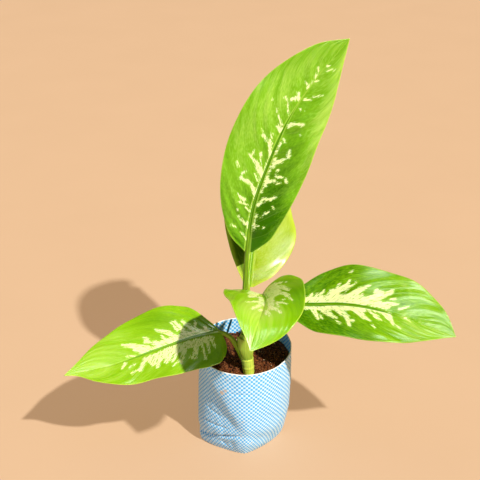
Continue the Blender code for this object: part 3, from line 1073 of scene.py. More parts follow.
@dataclass
class Stem:
    """The short main stem, ringed where old leaves grew, with a torn sheath round its top."""

    path: tuple[Triple, ...] = (
        (0.0060, -0.0215, 0.062),
        (0.0052, -0.0220, 0.102),
        (0.0035, -0.0213, 0.120),
        (0.0010, -0.0202, 0.137),
        (0.0000, -0.0195, 0.150),
    )
    radii: tuple[float, ...] = (0.0052, 0.0062, 0.0068, 0.0076, 0.0048)
    rings: tuple[float, ...] = (0.545, 0.66)
    ring_height: float = 0.3 * MM
    sides: int = 40
    rows: int = 120
    ring_spread: float = 0.012
    # The sheath: its heights, the turns that it reaches between, the turn, height and spread of its torn
    # ear, and how far its corners hang lower.
    sheath_foot: float = 0.118
    sheath_top: float = 0.148
    sheath_turns: Pair = (0.40, 0.92)
    ear: Triple = (0.620, 0.0030, 0.055)
    corner_drop: float = 0.006
    sheath_wall: float = 0.5 * MM
    neck: float = 0.137

    def sheath(self, s: Array, t: Array) -> Skin:
        """Lays the torn sheath that an old leaf left round the stem.

        Args:
            s: Shares of the way round.
            t: Shares of the way up.

        Returns:
            The sheath's middle surface, which starts inside the stem's skin and opens out at its ear.
        """
        turn = blend(self.sheath_turns, s)
        rise = bell(turn - self.ear[0], self.ear[2])
        top = self.sheath_top + self.ear[1] * rise - self.corner_drop * smooth(0.6, 1.0, np.abs(2 * s - 1))
        height = blend((self.sheath_foot, top), t)
        levels = [point[2] for point in self.path]
        middle = spline(levels, [point[:2] for point in self.path], height)
        radius = spline(levels, self.radii, np.minimum(height, self.neck))
        radius = radius - 0.5 * MM + (0.9 + 1.3 * rise * t) * MM * smooth(0, 0.6, t)
        spoke = np.stack([np.cos(tau * turn), np.sin(tau * turn)], -1)
        level = middle + spoke * radius[:, None]
        return Skin(np.column_stack([level, height]), np.stack([s * 0.02, height], -1))

    def build(self) -> Object:
        """Builds the ringed stem with its sheath as one piece.

        Returns:
            The piece.
        """
        path, shares = even_path(self.path, self.rows + 1)
        run = np.linspace(0, 1, self.rows + 1)
        radii = spline(shares, self.radii, run)
        for ring in self.rings:
            step = (run - ring) / self.ring_spread
            radii = radii + self.ring_height * (bell(step, 1) - 0.7 * bell(step - 2, 1))
        finishes = [
            StemSkin("pale_green_stem", "#e2f062", "#bacc40").build(),
            # The sheath's greens are darker than the stem's: painted shade of the leaves over the stem's top.
            StemSkin("shaded_leaf_sheath", "#a8be42", "#789824").build(),
        ]
        sheet = add_piece("sheath", lay_grid(48, 40, self.sheath), finishes)
        for face in sheet.data.polygons:
            face.material_index = 1
        thicken(sheet, self.sheath_wall)
        whole = lay_tube(path, radii, self.sides)
        whole.from_mesh(settled(sheet))
        return fix(add_piece("main_stem", whole, finishes), "stem")


STALK_SKIN = StemSkin("leaf_stalk_skin", "#9cbc20", "#648c08")
UNDER_SKIN = LeafSkin(
    "leaf_underside", "#557f1c", "#7ca83a", "#a4c864", splash=0.35, vein=0.5, rib=0.6, roughness=0.5, wax=0.0
)


@dataclass
class Leaf:
    """One leaf: its stalk, its midrib and its blade.

    stalk and rib are points from inside the stem to the blade's base, and on to its tip. faces says which way
    the upper face looks at the base, the middle and the tip. reach and lobe are for the left and the right
    half: how far it reaches at each station, and how far its lobe hangs back. fold and roll, at the base and
    the tip, are the degrees that both halves rise by and that the blade leans by. veins is the number of side
    veins, and lean is how far each half's veins run forward, at the base and further on. streaks holds the
    cream splashes: along and across for both ends, in hundredths of the blade's length and half width, then a
    radius in mm at each end. tones holds soft patches of lighter or darker green, mostly painted shade and
    painted sheen and partly the leaf's own tint: along, across, their two sizes and their strength. wave is
    the ripple of the margin: its height, how many and its phase.
    """

    side: str
    stalk: tuple[Triple, ...]
    rib: tuple[Triple, ...]
    faces: tuple[Triple, ...]
    reach: tuple[tuple[float, ...], tuple[float, ...]]
    fold: Pair
    roll: Pair
    droop: float
    wave: Triple
    upper: LeafSkin
    veins: int
    lean: tuple[Pair, Pair]
    quilting: float
    slot: Slot = Slot.LEAF
    under: LeafSkin = UNDER_SKIN
    petiole: StemSkin = STALK_SKIN
    sweep: float = 0.0
    lobe: Pair = (0.0, 0.0)
    rib_width: float = 1.9
    tone: float = 0.4
    tints_shade_and_sheen: tuple[tuple[float, ...], ...] = ()
    streaks: tuple[tuple[float, ...], ...] = ()
    streak_scale: float = 1.0
    # The deepest that a place can lie in a splash, in mm below zero, so that flecks fray all of the cream.
    hollow: float = -1.1
    # How much painted shade darkens the grooves over the side veins, and its width in mm.
    groove_shade: float = 0.03
    groove_shade_width: float = 1.1
    # The quilting: how sharply it ends at the side veins, how much uneven lumps vary it and their size, over
    # what width beside the midrib it starts, and how wide the channel of a side vein is.
    crisp: float = 0.15
    crumple: float = 1.0
    crumple_size: float = 15 * MM
    calm_width: float = 7 * MM
    vein_channel: float = 1.3 * MM
    # Where along the blade the midrib's own colour fades out.
    rib_fade: float = 0.6
    stations: tuple[float, ...] = (0.0, 0.05, 0.12, 0.22, 0.35, 0.50, 0.65, 0.80, 0.92, 1.0)
    thickness: float = 0.6 * MM
    columns: int = 96
    rows: int = 210
    stalk_sides: int = 24
    stalk_rows: int = 150
    stalk_radii: Triple = (0.0034, 0.0023, 0.0004)
    rib_end: float = 0.94

    def lines(self, count: int) -> tuple[Array, float]:
        """Even points along the whole line of the leaf, and the share of it that is stalk."""
        path, shares = even_path(self.stalk + self.rib, count)
        return path, shares[len(self.stalk)]

    def rib_frame(self, u: Array) -> tuple[Array, Array, Array, Array, float]:
        """Finds the midrib's frame.

        Args:
            u: Shares of the way from the blade's base to its tip.

        Returns:
            Points, directions, upward and sideways directions, and the midrib's length.
        """
        path, start = self.lines(PATH_SAMPLES)
        fine = np.linspace(0, 1, len(path))
        at = start + (1 - start) * u
        directions = np.gradient(path, axis=0)
        direction = unit(read_rows(at, fine, directions))
        face = read_rows(u, np.linspace(0, 1, len(self.faces)), np.array(self.faces, float))
        upward = unit(face - (face * direction).sum(-1, keepdims=True) * direction)
        length = np.linalg.norm(directions, axis=1).sum() * (1 - start)
        return read_rows(at, fine, path), direction, upward, np.cross(direction, upward), length

    def width_at(self, u: Array, v: Array) -> Array:
        """How far the half that v lies in reaches from the midrib at u."""
        left, right = (spline(self.stations, reach, u) for reach in self.reach)
        return np.where(v < 0, left, right)

    def vein_share(self, u: Array, v: Array) -> Array:
        """Finds where the side veins start.

        Args:
            u: Shares along the blade.
            v: Shares across it, negative on the left.

        Returns:
            Shares along the midrib from which the side veins through these places start.
        """
        grown, out = np.clip(u / 0.55, 0, 1), np.abs(v)
        lean = np.where(v < 0, *(blend(ends, grown) for ends in self.lean))
        return u - lean * out - 0.10 * grown * out**2.6

    def relief(self, u: Array, v: Array, length: float) -> tuple[Array, ...]:
        """Works out the quilting between the side veins and the channel of the midrib.

        Args:
            u: Shares along the blade.
            v: Shares across it, negative on the left.
            length: The midrib's length.

        Returns:
            The lift in metres, the distance to the nearest side vein in mm, and the distance from the midrib
            as a share of the midrib's half width.
        """
        across = np.abs(v) * self.width_at(u, v)
        start = self.vein_share(u, v)
        stray = grain(np.stack([start * 5, np.sign(v) + 1.2 * v], -1), 1.0, self.veins)
        turn = start * self.veins + np.where(v < 0, 0.0, 0.35) + 0.6 * stray
        part = turn - np.floor(turn)
        gap = np.minimum(part, 1 - part) * length / self.veins
        calm = smooth(0, self.calm_width, across) * (1 - smooth(0.82, 1.0, np.abs(v))) * smooth(0, 0.05, u)
        calm = calm * (1 - 0.8 * smooth(0.8, 1.0, u))
        pillow = 0.6 * np.sin(pi * part) ** (2 - 1.2 * self.crisp) - 0.35
        pillow = pillow + 0.5 * self.crisp * (1 - bell(gap, self.vein_channel))
        half_width = (self.rib_width * (1 - u) ** 0.8 + 0.35) * MM
        share = across / half_width
        channel = -0.55 * bell(share, 1) + 0.3 * bell(share - 1.5, 0.5)
        calm = calm * (0.75 + 0.8 * grain(np.stack([start * 9, v * 1.5], -1), 1.0, self.veins + 3))
        drawn = np.stack([start * length, 0.6 * v * self.width_at(u, v)], -1)
        pillow = pillow + self.crumple * grain(drawn, self.crumple_size, self.veins + 7)
        lift = self.quilting * calm * pillow + channel * MM * (1 - u) * smooth(0, 0.03, u)
        return lift, gap / MM, share

    def splash(self, u: Array, v: Array, length: float) -> Array:
        """Measures how far places on the blade are from its cream splashes.

        Args:
            u: Shares along the blade.
            v: Shares across it.
            length: The midrib's length.

        Returns:
            Distances in mm, negative inside a splash.
        """
        spot = np.stack([u * length, v * self.width_at(u, v)], -1) / MM
        nearest = np.full_like(u, 7.0)
        for u0, v0, u1, v1, r0, r1 in self.streaks:
            ends_u, ends_v = np.array([u0, u1]) / 100, np.array([v0, v1]) / 100
            ends = np.stack([ends_u * length, ends_v * self.width_at(ends_u, ends_v)], -1) / MM
            along = ends[1] - ends[0]
            share = np.clip((spot - ends[0]) @ along / max(along @ along, 1e-9), 0, 1)
            gap = np.linalg.norm(spot - ends[0] - share[:, None] * along, axis=-1)
            nearest = np.minimum(nearest, gap - blend((r0, r1), share) * self.streak_scale)
        return np.maximum(nearest, self.hollow)

    def skin(self, s: Array, t: Array) -> Skin:
        """Lays the blade, with its columns crowded at the midrib and its rows at the base.

        Args:
            s: Shares across, from the left.
            t: Shares along, from the base.

        Returns:
            The blade's middle surface with its marks.
        """
        v = np.sign(s - 0.5) * np.abs(2 * s - 1) ** 1.25
        u = t**1.2
        out, left = np.abs(v), v < 0
        reach = self.width_at(u, v)
        forward = u + self.sweep * np.sin(pi * u) ** 0.8 * out**1.4 * (1 - u) ** 0.3
        forward = forward - np.where(left, *self.lobe) * np.exp(-u / 0.07) * np.sin(0.85 * pi * out)
        inside = np.clip(forward, 0, 1)
        point, direction, upward, sideways, length = self.rib_frame(inside)
        point = point + direction * ((forward - inside) * length)[:, None]
        tilt = np.radians(blend(self.fold, u)) + np.radians(blend(self.roll, u)) * np.sign(v)
        amount, count, phase = self.wave
        ripple = np.sin(tau * count * u + phase + np.where(left, 0.0, 1.7))
        ripple = ripple * np.clip(6 * u, 0, 1) * np.clip(5 - 5 * u, 0, 1)
        aside = reach * out * np.cos(tilt * (1 - 0.4 * out)) * np.sign(v)
        lift, vein, rib = self.relief(u, v, length)
        lift = lift + reach * (np.sin(tilt) * out - self.droop * out**2) + amount * out**2.2 * ripple
        points = point + sideways * aside[:, None] + upward * lift[:, None]
        # The blade's tone, with soft patches that are mostly painted shade and painted sheen.
        tone = np.full_like(u, self.tone)
        for u0, v0, wide_u, wide_v, strength in self.tints_shade_and_sheen:
            tone = tone + strength * np.exp(-(((u - u0) / wide_u) ** 2) - ((v - v0) / wide_v) ** 2)
        # Painted shade in the grooves over the side veins, away from the midrib.
        tone = tone - self.groove_shade * bell(vein, self.groove_shade_width) * smooth(1.2, 2.5, rib)
        flat = np.stack([self.vein_share(u, v) * length, v * reach], -1)
        marks = {
            Mark.CREAM: self.splash(u, v, length),
            Mark.EDGE: np.minimum(reach * (1 - out) / MM, FAR),
            Mark.RIB: np.minimum(rib + 1.3 * smooth(self.rib_fade - 0.15, self.rib_fade + 0.2, u), FAR),
            Mark.VEIN: vein,
            Mark.TONE_SHADE_AND_SHEEN: tone,
        }
        return Skin(points, flat, marks)

    def stalk_mesh(self) -> BMesh:
        """Builds the stalk from inside the stem, and the midrib that it turns into under the blade.

        Returns:
            The closed mesh.
        """
        path, start = self.lines(self.stalk_rows + 1)
        share = np.linspace(0, 1, self.stalk_rows + 1)
        on_rib = np.clip((share - start) / (1 - start), 0, 1)
        path, shares = path[on_rib <= self.rib_end], on_rib[on_rib <= self.rib_end]
        share = share[: len(path)]
        radii = np.interp(share, (0, start, 1), self.stalk_radii)
        upward = self.rib_frame(shares)[2]
        drop = radii * 0.95 * smooth(0, 0.12, shares)
        return lay_tube(path - upward * drop[:, None], radii, self.stalk_sides)

    def build(self) -> Object:
        """Builds the leaf as one piece: a thin blade with two skins, and its stalk.

        Returns:
            The piece.
        """
        finishes = [self.upper.build(), self.under.build(), self.petiole.build()]
        sheet = add_piece(self.side + "_blade", lay_grid(self.columns, self.rows, self.skin), finishes)
        thicken(sheet, self.thickness).material_offset = 1
        whole = bmesh.new()
        whole.from_mesh(settled(sheet))
        merge(whole, self.stalk_mesh(), 2)
        return fix(add_piece(self.side + "_leaf", whole, finishes), "leaf_" + self.side)


LEAVES = (
    Leaf(
        side="left",
        stalk=((-0.001, -0.0200, 0.120), (-0.009, -0.0212, 0.138), (-0.016, -0.0233, 0.150)),
        rib=(
            (-0.0255, -0.0250, 0.1559), (-0.0520, -0.0310, 0.1541), (-0.0946, -0.0410, 0.1438),
            (-0.1395, -0.0520, 0.1321), (-0.1911, -0.0640, 0.1261),
        ),
        faces=((0.05, -0.45, 1.0), (-0.10, -0.55, 1.0), (0.0, -0.60, 1.0)),
        reach=(
            (0.0337, 0.0416, 0.0438, 0.0409, 0.0396, 0.0336, 0.0287, 0.0163, 0.0034, 0.0000),
            (0.0005, 0.0137, 0.0333, 0.0438, 0.0486, 0.0466, 0.0382, 0.0278, 0.0103, 0.0000),
        ),
        fold=(13, 7),
        roll=(-1, 0),
        lobe=(0.027, 0.0),
        droop=0.11,
        wave=(0.0016, 3.0, 0.4),
        upper=LeafSkin("left_leaf_skin", "#4c8600", "#90c214", "#c4e264", mottle=0.5, line=0.1, edge=0.6),
        veins=12,
        lean=((0.07, 0.16), (0.11, 0.38)),
        quilting=0.5 * MM,
        hollow=-0.7,
        tone=0.5,
        tints_shade_and_sheen=((0.85, 0.0, 0.25, 1.0, 0.2), (0.35, 0.7, 0.2, 0.3, -0.12), (0.1, 0.0, 0.12, 1.0, -0.15)),
        streaks=(
            (8, -18, 36, -22, 4, 6), (36, -25, 50, -25, 6, 3), (8, -20, 7, -50, 1.2, 1.2),
            (10, -20, 11.5, -62, 1.5, 0.6), (14, -30, 14.5, -75, 1.2, 0.8),
            (16.5, -20, 20.5, -68, 3.5, 2), (20, -65, 23.5, -60, 1, 1), (25, -30, 29, -68, 3, 1.5),
            (29, -60, 34.5, -70, 1.2, 0.8), (30, -35, 34, -55, 2, 1.5), (34, -35, 38, -52, 3, 2),
            (40, -30, 44, -62, 3, 1.5), (46, -25, 45.5, -42, 4, 4), (50, -22, 54.5, -55, 2.2, 1.8),
            (54.5, -50, 60, -58, 1.5, 0.6), (57.5, -27, 60, -33, 1, 1), (62, -12, 65, -27, 1.5, 0.8),
            (8, 10, 16, 14, 3, 3), (16, 8, 36, 10, 4, 4), (36, 5, 50, 6, 2, 2), (8, 15, 9, 32, 1.5, 1.5),
            (15, 25, 13.5, 50, 1.5, 0.8), (16.5, 20, 21, 52, 2.5, 1.2), (20.5, 12, 25.5, 53, 2.5, 1.5),
            (25.5, 30, 27.5, 52, 1, 0.8), (27, 10, 33, 35, 3, 2), (33, 35, 38, 46, 1.8, 1.2),
            (36, 5, 46.5, 28, 2.5, 1.5), (44, 30, 46.5, 40, 1, 0.6), (33, 16, 36, 28, 0.6, 0.6),
            (46, 8, 56, 35, 3.5, 2.5), (56, 35, 61, 47, 2, 0.8), (50, 5, 54, 20, 2, 2),
            (55, 5, 60, 10, 0.6, 0.6),
        ),
    ),
    Leaf(
        side="right",
        stalk=(
            (0.003, -0.0190, 0.120), (0.013, -0.0165, 0.138),
            (0.022, -0.0150, 0.155), (0.034, -0.0150, 0.171),
        ),
        rib=(
            (0.0461, -0.0170, 0.1821), (0.0797, -0.0260, 0.1911), (0.1171, -0.0420, 0.1989),
            (0.1600, -0.0600, 0.1965), (0.2143, -0.0860, 0.1876),
        ),
        faces=((0.05, -0.55, 1.0), (0.10, -0.60, 1.0), (0.20, -0.70, 1.0)),
        reach=(
            (0.0125, 0.0190, 0.0318, 0.0424, 0.0433, 0.0431, 0.0374, 0.0267, 0.0132, 0.0000),
            (0.0109, 0.0217, 0.0340, 0.0416, 0.0413, 0.0386, 0.0292, 0.0185, 0.0062, 0.0000),
        ),
        fold=(19, 8),
        roll=(-5, -6),
        sweep=0.134,
        lobe=(0.023, 0.031),
        droop=0.07,
        wave=(0.0016, 3.5, 1.0),
        upper=LeafSkin(
            "right_leaf_skin", "#3a7400", "#82b80c", "#c8e478",
            rib_green="#549400", mottle=1.2, line=0.0, edge=0.35,
        ),
        veins=9,
        lean=((0.14, 0.20), (0.10, 0.26)),
        quilting=0.65 * MM,
        groove_shade=0.02,
        crumple=2.4,
        hollow=-0.9,
        rib_width=2.3,
        tone=0.3,
        tints_shade_and_sheen=(
            (0.9, 0.3, 0.35, 0.8, 0.4), (0.0, 0.0, 0.3, 1.2, -0.2), (0.35, 0.8, 0.25, 0.4, -0.05),
            (0.65, -0.9, 0.3, 0.4, 0.25),
        ),
        streak_scale=1.1,
        streaks=(
            (5, -12, 36, -14, 4.5, 5), (36, -15, 58, -16, 5, 3), (13, -20, 14, -30, 1.5, 1.5),
            (16, -15, 17, -28, 1.2, 1.2), (19, -20, 20, -35, 2, 1), (23.5, -25, 24.5, -35, 1.5, 1.5),
            (26, -25, 31, -45, 4, 3), (27, -40, 27, -50, 1, 1), (30, -40, 31, -60, 1.2, 0.5),
            (32.5, -35, 34.5, -58, 1.2, 0.5), (28.5, -82, 28.6, -82, 1, 1), (37, -20, 40, -42, 4, 2.5),
            (40, -42, 42, -55, 1.5, 1), (43, -20, 42, -30, 1, 1), (47, -20, 50, -42, 4, 3),
            (47, -42, 47, -48, 1, 1), (51, -30, 54, -55, 3.5, 2), (56, -20, 62, -30, 2, 1.2),
            (57, -37, 59, -40, 1, 1), (65, -20, 68, -35, 1.5, 0.8), (8, 14, 25, 14, 2.5, 2.5),
            (25, 12, 46, 10, 3.5, 3), (46, 4, 60, 6, 1.2, 1.2), (16.5, 20, 18.5, 50, 2.5, 1.5),
            (20, 40, 21, 50, 1, 1), (22, 20, 28, 42, 2.5, 1.5), (25, 25, 29.5, 45, 2, 1),
            (30, 57, 31, 63, 1.3, 1.3), (31, 15, 36, 42, 4, 2.5), (36, 42, 36, 65, 2.5, 1.2),
            (37, 50, 39.5, 50, 1, 1), (42, 15, 47, 35, 4, 2), (47, 35, 49, 40, 1.5, 1),
            (50.5, 55, 51, 60, 1, 1), (49, 10, 56, 32, 0.7, 0.7), (50.5, 15, 55, 20, 0.7, 0.7),
            (52, 25, 55, 32, 0.7, 0.7), (57, 5, 61, 20, 1.5, 2), (61, 5, 63, 36, 2.5, 1.5),
            (70, -2, 74, 10, 1, 0.6), (65, 42, 67, 50, 0.7, 0.7),
        ),
    ),
    Leaf(
        side="tall",
        stalk=(
            (0.000, -0.0190, 0.130), (0.000, -0.0172, 0.155),
            (0.000, -0.0155, 0.175), (0.001, -0.0110, 0.208),
        ),
        rib=(
            (0.0029, -0.0050, 0.2441), (0.0090, 0.0020, 0.2907), (0.0230, 0.0100, 0.3323),
            (0.0460, 0.0200, 0.3841), (0.0711, 0.0290, 0.4204), (0.1057, 0.0360, 0.4621),
        ),
        faces=((0.0, -1.0, 0.25), (0.0, -1.0, 0.30), (-0.10, -1.0, 0.35)),
        reach=(
            (0.0025, 0.0179, 0.0286, 0.0401, 0.0478, 0.0484, 0.0436, 0.0315, 0.0170, 0.0000),
            (0.0065, 0.0217, 0.0308, 0.0374, 0.0409, 0.0392, 0.0352, 0.0232, 0.0094, 0.0000),
        ),
        fold=(23, 10),
        roll=(1, 1),
        sweep=0.042,
        droop=0.1,
        wave=(0.0018, 3.5, 2.2),
        upper=LeafSkin(
            "tall_leaf_skin", "#3a6e00", "#7cb41c", "#bcde60",
            rib_green="#488a00", line=0.6, edge=0.5,
        ),
        # Darker greens than the other stalks: painted shade, as this stalk stands in the shade under the
        # leaves.
        petiole=StemSkin("shaded_tall_leaf_stalk_skin", "#86a818", "#4c7404"),
        veins=13,
        lean=((0.13, 0.16), (0.05, 0.10)),
        quilting=1.1 * MM,
        groove_shade=0.05,
        tone=0.44,
        crumple=2.2,
        tints_shade_and_sheen=(
            (0.12, 0.6, 0.35, 0.6, -0.5), (0.60, 0.9, 0.45, 0.3, 0.45), (0.6, -0.6, 0.4, 0.4, 0.2),
            (1.0, 0.0, 0.3, 1.0, 0.15), (0.0, -0.3, 0.2, 0.7, -0.25),
        ),
        rows=260,
        streak_scale=0.9,
        streaks=(
            (10, -3, 42, -3, 0.7, 0.7), (5.5, -12, 6.5, -22, 0.8, 0.8), (7.5, -28, 8, -38, 0.7, 0.7),
            (10.5, -8, 13, -10, 1.2, 1.2), (12, -15, 13.5, -36, 1.5, 1.2), (10, -60, 10.5, -75, 0.6, 0.6),
            (14.5, -42, 14.6, -42, 0.7, 0.7), (17, -47, 17.1, -47, 0.7, 0.7),
            (17.5, -3, 19, -22, 1.6, 0.6), (21.5, -30, 22.5, -50, 2, 0.8), (20, -20, 20, -45, 0.4, 0.4),
            (25.5, -4, 28.5, -22, 3, 1.5), (28.5, -22, 29, -50, 1.6, 1.6), (30.5, -50, 32, -45, 0.9, 0.9),
            (32.5, -62, 34, -68, 0.8, 0.8), (34, -4, 37, -22, 4, 3), (37, -22, 39, -48, 2.5, 1),
            (39.5, -20, 42, -25, 1.2, 1.2), (40, -40, 41.5, -40, 0.7, 0.7), (31, -10, 33, -20, 0.8, 0.8),
            (43, -3, 47, -15, 2.5, 1.6), (47, -15, 48.5, -36, 1.2, 1), (47, -12, 51, -20, 1.8, 0.5),
            (48.5, -30, 50.5, -45, 0.8, 0.4), (54, -4, 54.5, -14, 3, 2), (56, -8, 60, -35, 1, 0.5),
            (61, -5, 64, -20, 0.6, 0.6), (65, -28, 65.5, -34, 1, 1), (61.5, -55, 61.6, -55, 0.5, 0.5),
            (66.5, -20, 68.5, -8, 1.5, 2.5), (69, -8, 70, -15, 1.5, 1.5), (75, -10, 75.5, -20, 0.6, 0.6),
            (74, -5, 78, -4, 0.5, 0.5), (79, -5, 80.5, -8, 0.6, 0.6), (82, -10, 83, -20, 0.6, 0.6),
            (10, 13, 17, 15, 0.9, 0.9), (27, 10, 42, 10, 0.7, 0.7), (44, 8, 49, 9, 0.8, 0.8),
            (11, 15, 12, 30, 0.8, 0.8), (11.5, 48, 11.6, 48, 0.6, 0.6), (16, 30, 17, 35, 0.6, 0.6),
            (18, 40, 19, 48, 0.8, 0.8), (20.5, 60, 21.5, 55, 0.8, 0.8), (21, 13, 24, 22, 1.5, 1.5),
            (24, 20, 24.5, 40, 1.3, 2), (24.5, 40, 26, 50, 2, 1), (30, 12, 33, 12, 2, 2),
            (32, 15, 33, 33, 2.2, 1), (35, 30, 35, 45, 1.3, 1), (32, 40, 32.5, 48, 0.6, 0.6),
            (33.5, 60, 34.5, 56, 1.2, 1.2), (38.5, 15, 42, 12, 1.5, 1.5), (40, 15, 43, 36, 2.8, 1.2),
            (44, 42, 47, 38, 1.6, 1), (37, 28, 38, 30, 0.7, 0.7), (50, 18, 51, 12, 1.5, 1),
            (57, 10, 58.5, 20, 2, 1.8), (58.5, 20, 59.5, 42, 1.6, 1.5), (54.5, 48, 54.6, 48, 0.5, 0.5),
            (65, 28, 65.1, 28, 0.5, 0.5), (65, 14, 65.1, 14, 0.6, 0.6), (69.5, 10, 70.5, 25, 1.2, 1),
            (72, 30, 74.5, 55, 0.6, 0.3), (78, 5, 79, 12, 0.8, 0.8), (86, 2, 86, 10, 0.8, 0.8),
            (84.5, 25, 86, 45, 1, 0.8),
        ),
    ),
    Leaf(
        side="back",
        slot=Slot.PALE_LEAF,
        stalk=(
            (0.001, -0.0170, 0.128), (0.004, -0.0090, 0.148),
            (0.006, -0.0030, 0.163), (0.006, 0.0020, 0.180),
        ),
        rib=(
            (0.0050, 0.0070, 0.1944), (0.0084, 0.0300, 0.2214), (0.0149, 0.0620, 0.2553),
            (0.0219, 0.0950, 0.2847), (0.0280, 0.1320, 0.3079),
        ),
        faces=((0.20, -0.80, 0.80), (0.20, -0.80, 0.80), (0.20, -0.70, 0.90)),
        reach=(
            (0.0025, 0.0101, 0.0193, 0.0280, 0.0370, 0.0413, 0.0390, 0.0294, 0.0144, 0.0000),
            (0.0054, 0.0213, 0.0328, 0.0427, 0.0459, 0.0386, 0.0295, 0.0174, 0.0065, 0.0000),
        ),
        fold=(18, 5),
        roll=(-3, -5),
        sweep=0.049,
        lobe=(0.019, 0.0),
        droop=0.1,
        wave=(0.0014, 3.0, 0.0),
        # Paler, yellower greens: partly the leaf's own pale colour and partly painted light shining through
        # it.
        upper=LeafSkin(
            "back_leaf_skin", "#4c6c00", "#98b418", "#bcd060",
            splash=0.4, wax=0.15, edge=0.8, edge_green="#c0d440", edge_width=8.0,
        ),
        petiole=StemSkin("back_leaf_stalk_skin", "#a8c828", "#789c10"),
        veins=11,
        lean=((0.10, 0.20), (0.10, 0.20)),
        quilting=0.3 * MM,
        tone=0.47,
        tints_shade_and_sheen=((0.5, 0.4, 0.5, 0.5, 0.3), (0.2, -0.6, 0.3, 0.5, -0.5)),
        stalk_radii=(0.0030, 0.0016, 0.0004),
        streaks=((25, 15, 33, 30, 0.4, 0.3), (40, -20, 45, -35, 0.4, 0.3)),
    ),
    Leaf(
        side="front",
        stalk=(
            (0.002, -0.0215, 0.128), (0.007, -0.0225, 0.145),
            (0.012, -0.0190, 0.165), (0.017, -0.0170, 0.184),
        ),
        rib=(
            (0.0186, -0.0200, 0.1973), (0.0212, -0.0620, 0.2163), (0.0180, -0.1030, 0.2296),
            (0.0125, -0.1380, 0.2337), (0.0051, -0.1600, 0.2170),
        ),
        faces=((0.0, -0.1, 1.0), (0.0, -0.2, 1.0), (0.0, -0.9, 1.0)),
        reach=(
            (0.0215, 0.0265, 0.0342, 0.0409, 0.0423, 0.0427, 0.0391, 0.0264, 0.0120, 0.0000),
            (0.0170, 0.0281, 0.0359, 0.0406, 0.0430, 0.0369, 0.0291, 0.0171, 0.0060, 0.0000),
        ),
        fold=(44, 13),
        roll=(-19, 12),
        sweep=0.15,
        droop=0.16,
        wave=(0.0010, 3.0, 1.2),
        upper=LeafSkin(
            "front_leaf_skin", "#4c8c00", "#88c004", "#cce868",
            rib_green="#84b800", mottle=0.2, line=0.2, edge=0.5,
        ),
        veins=11,
        lean=((0.30, 0.42), (0.30, 0.45)),
        quilting=0.3 * MM,
        crumple=2.0,
        hollow=-0.8,
        rib_fade=0.4,
        tone=0.5,
        tints_shade_and_sheen=((0.66, 0.1, 0.22, 0.8, 0.35), (0.4, -0.8, 0.3, 0.4, -0.25)),
        streak_scale=1.1,
        streaks=(
            (12, -30, 35, -30, 7, 6), (35, -15, 62, -22, 4, 2.5), (14, -50, 17, -60, 1.5, 1.5),
            (20, -68, 20.1, -68, 0.7, 0.7), (22, -45, 37, -64, 3, 1.2), (35, -40, 44, -60, 2.5, 1.5),
            (44, -55, 50, -70, 1.5, 0.8), (49, -50, 49.1, -50, 1, 1), (52, -35, 55, -58, 1.5, 0.8),
            (55, -35, 60, -40, 0.8, 0.8), (60, -28, 67, -50, 2.5, 1), (66, -15, 72, -28, 1.2, 0.8),
            (62, -12, 70, -14, 1, 1), (5, 30, 25, 35, 5, 5), (25, 10, 50, 8, 3, 3),
            (30, 30, 40, 40, 4, 2), (45, 15, 55, 50, 2, 1), (50, 8, 66, 36, 2, 1.5),
            (60, 4, 64, 10, 1.5, 1.5),
        ),
    ),
)


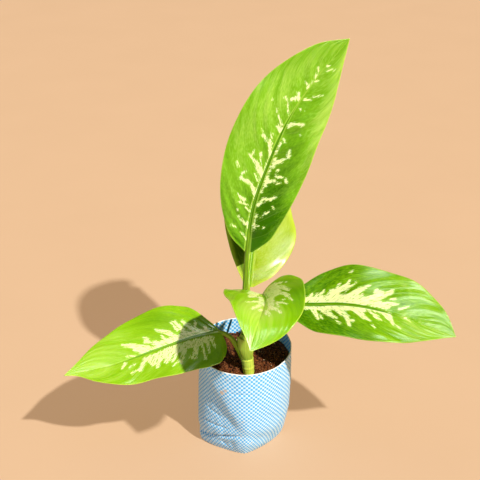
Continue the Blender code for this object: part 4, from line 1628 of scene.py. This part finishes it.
@dataclass
class Studio:
    """A pale floor, a key light from the front right, three soft panels and the camera."""

    floor_size: float = 200.0
    lens: float = 75.0
    camera_place: Triple = (-0.0045, -0.95272, 0.71967)
    camera_tilt: float = radians(64)
    aim: Triple = (0.0, 0.0, 0.0)

    def add_light(self, name: str, place: tuple, size: Pair, power: float, colour: str) -> Object:
        """Adds a soft panel turned towards the plant, or a distant light where the size is an angle alone.

        Args:
            name: The light's name.
            place: Where it stands.
            size: Its two sides in metres, or its angle in radians and zero.
            power: Its power in watts, or in watts for each square metre.
            colour: Its sRGB hex colour.

        Returns:
            The light.
        """
        distant = size[1] == 0
        data = bpy.data.lights.new(name, "SUN" if distant else "AREA")
        data.energy, data.color = power, linear(colour)[:3]
        if distant:
            data.angle = size[0]
        else:
            data.shape, data.size, data.size_y = "RECTANGLE", *size
        light = bpy.data.objects.new(name, data)
        bpy.context.scene.collection.objects.link(light)
        light.location = place
        light.rotation_euler = (Vector(self.aim) - Vector(place)).to_track_quat("-Z", "Y").to_euler()
        return light

    def build(self) -> None:
        """Builds the floor, the lights, the sky light and the camera."""
        mesh = bmesh.new()
        bmesh.ops.create_grid(mesh, x_segments=4, y_segments=4, size=self.floor_size / 2)
        floor = add_piece("studio_floor", mesh, [PaperFloor().build()])
        self.add_light("key_light", (1.189, -1.495, 1.978), (radians(1.5), 0), 4.8, "#fff8ee")
        fill = self.add_light("fill_softbox", (-1.00, -2.00, 0.30), (1.2, 1.2), 12.0, "#84c8ff")
        bounce = self.add_light("warm_ceiling", (-0.10, 0.20, 2.20), (1.6, 1.6), 6.0, "#ffdf84")
        fill.visible_glossy = bounce.visible_glossy = False
        # A panel that only the gloss shows, as a window over the plant would.
        panel = self.add_light("gloss_panel", (0.14, -0.64, 1.60), (0.75, 0.75), 24.0, "#f6faff")
        panel.visible_diffuse = False
        world = bpy.data.worlds.new("studio_air")
        world.use_nodes = True
        sky = world.node_tree.nodes["Background"]
        sky.inputs["Color"].default_value = linear("#e8ecb8")
        sky.inputs["Strength"].default_value = 0.09
        bpy.context.scene.world = world
        data = bpy.data.cameras.new("front_camera")
        data.lens, data.sensor_width = self.lens, 36.0
        camera = bpy.data.objects.new("front_camera", data)
        bpy.context.scene.collection.objects.link(camera)
        camera.location = self.camera_place
        camera.rotation_euler = (self.camera_tilt, 0.0, 0.0)
        bpy.context.scene.camera = camera
        bpy.context.scene.view_settings.view_transform = "Standard"


def main() -> None:
    """Builds the studio, the bag, the mix, the stem and the leaves in order."""
    logging.basicConfig(level=logging.INFO, format="%(name)s: %(message)s")
    Studio().build()
    bag = GrowBag()
    bag.build()
    GrowingMix(bag).build()
    Stem().build()
    for leaf in LEAVES:
        leaf.build()


if __name__ == "__main__":
    main()
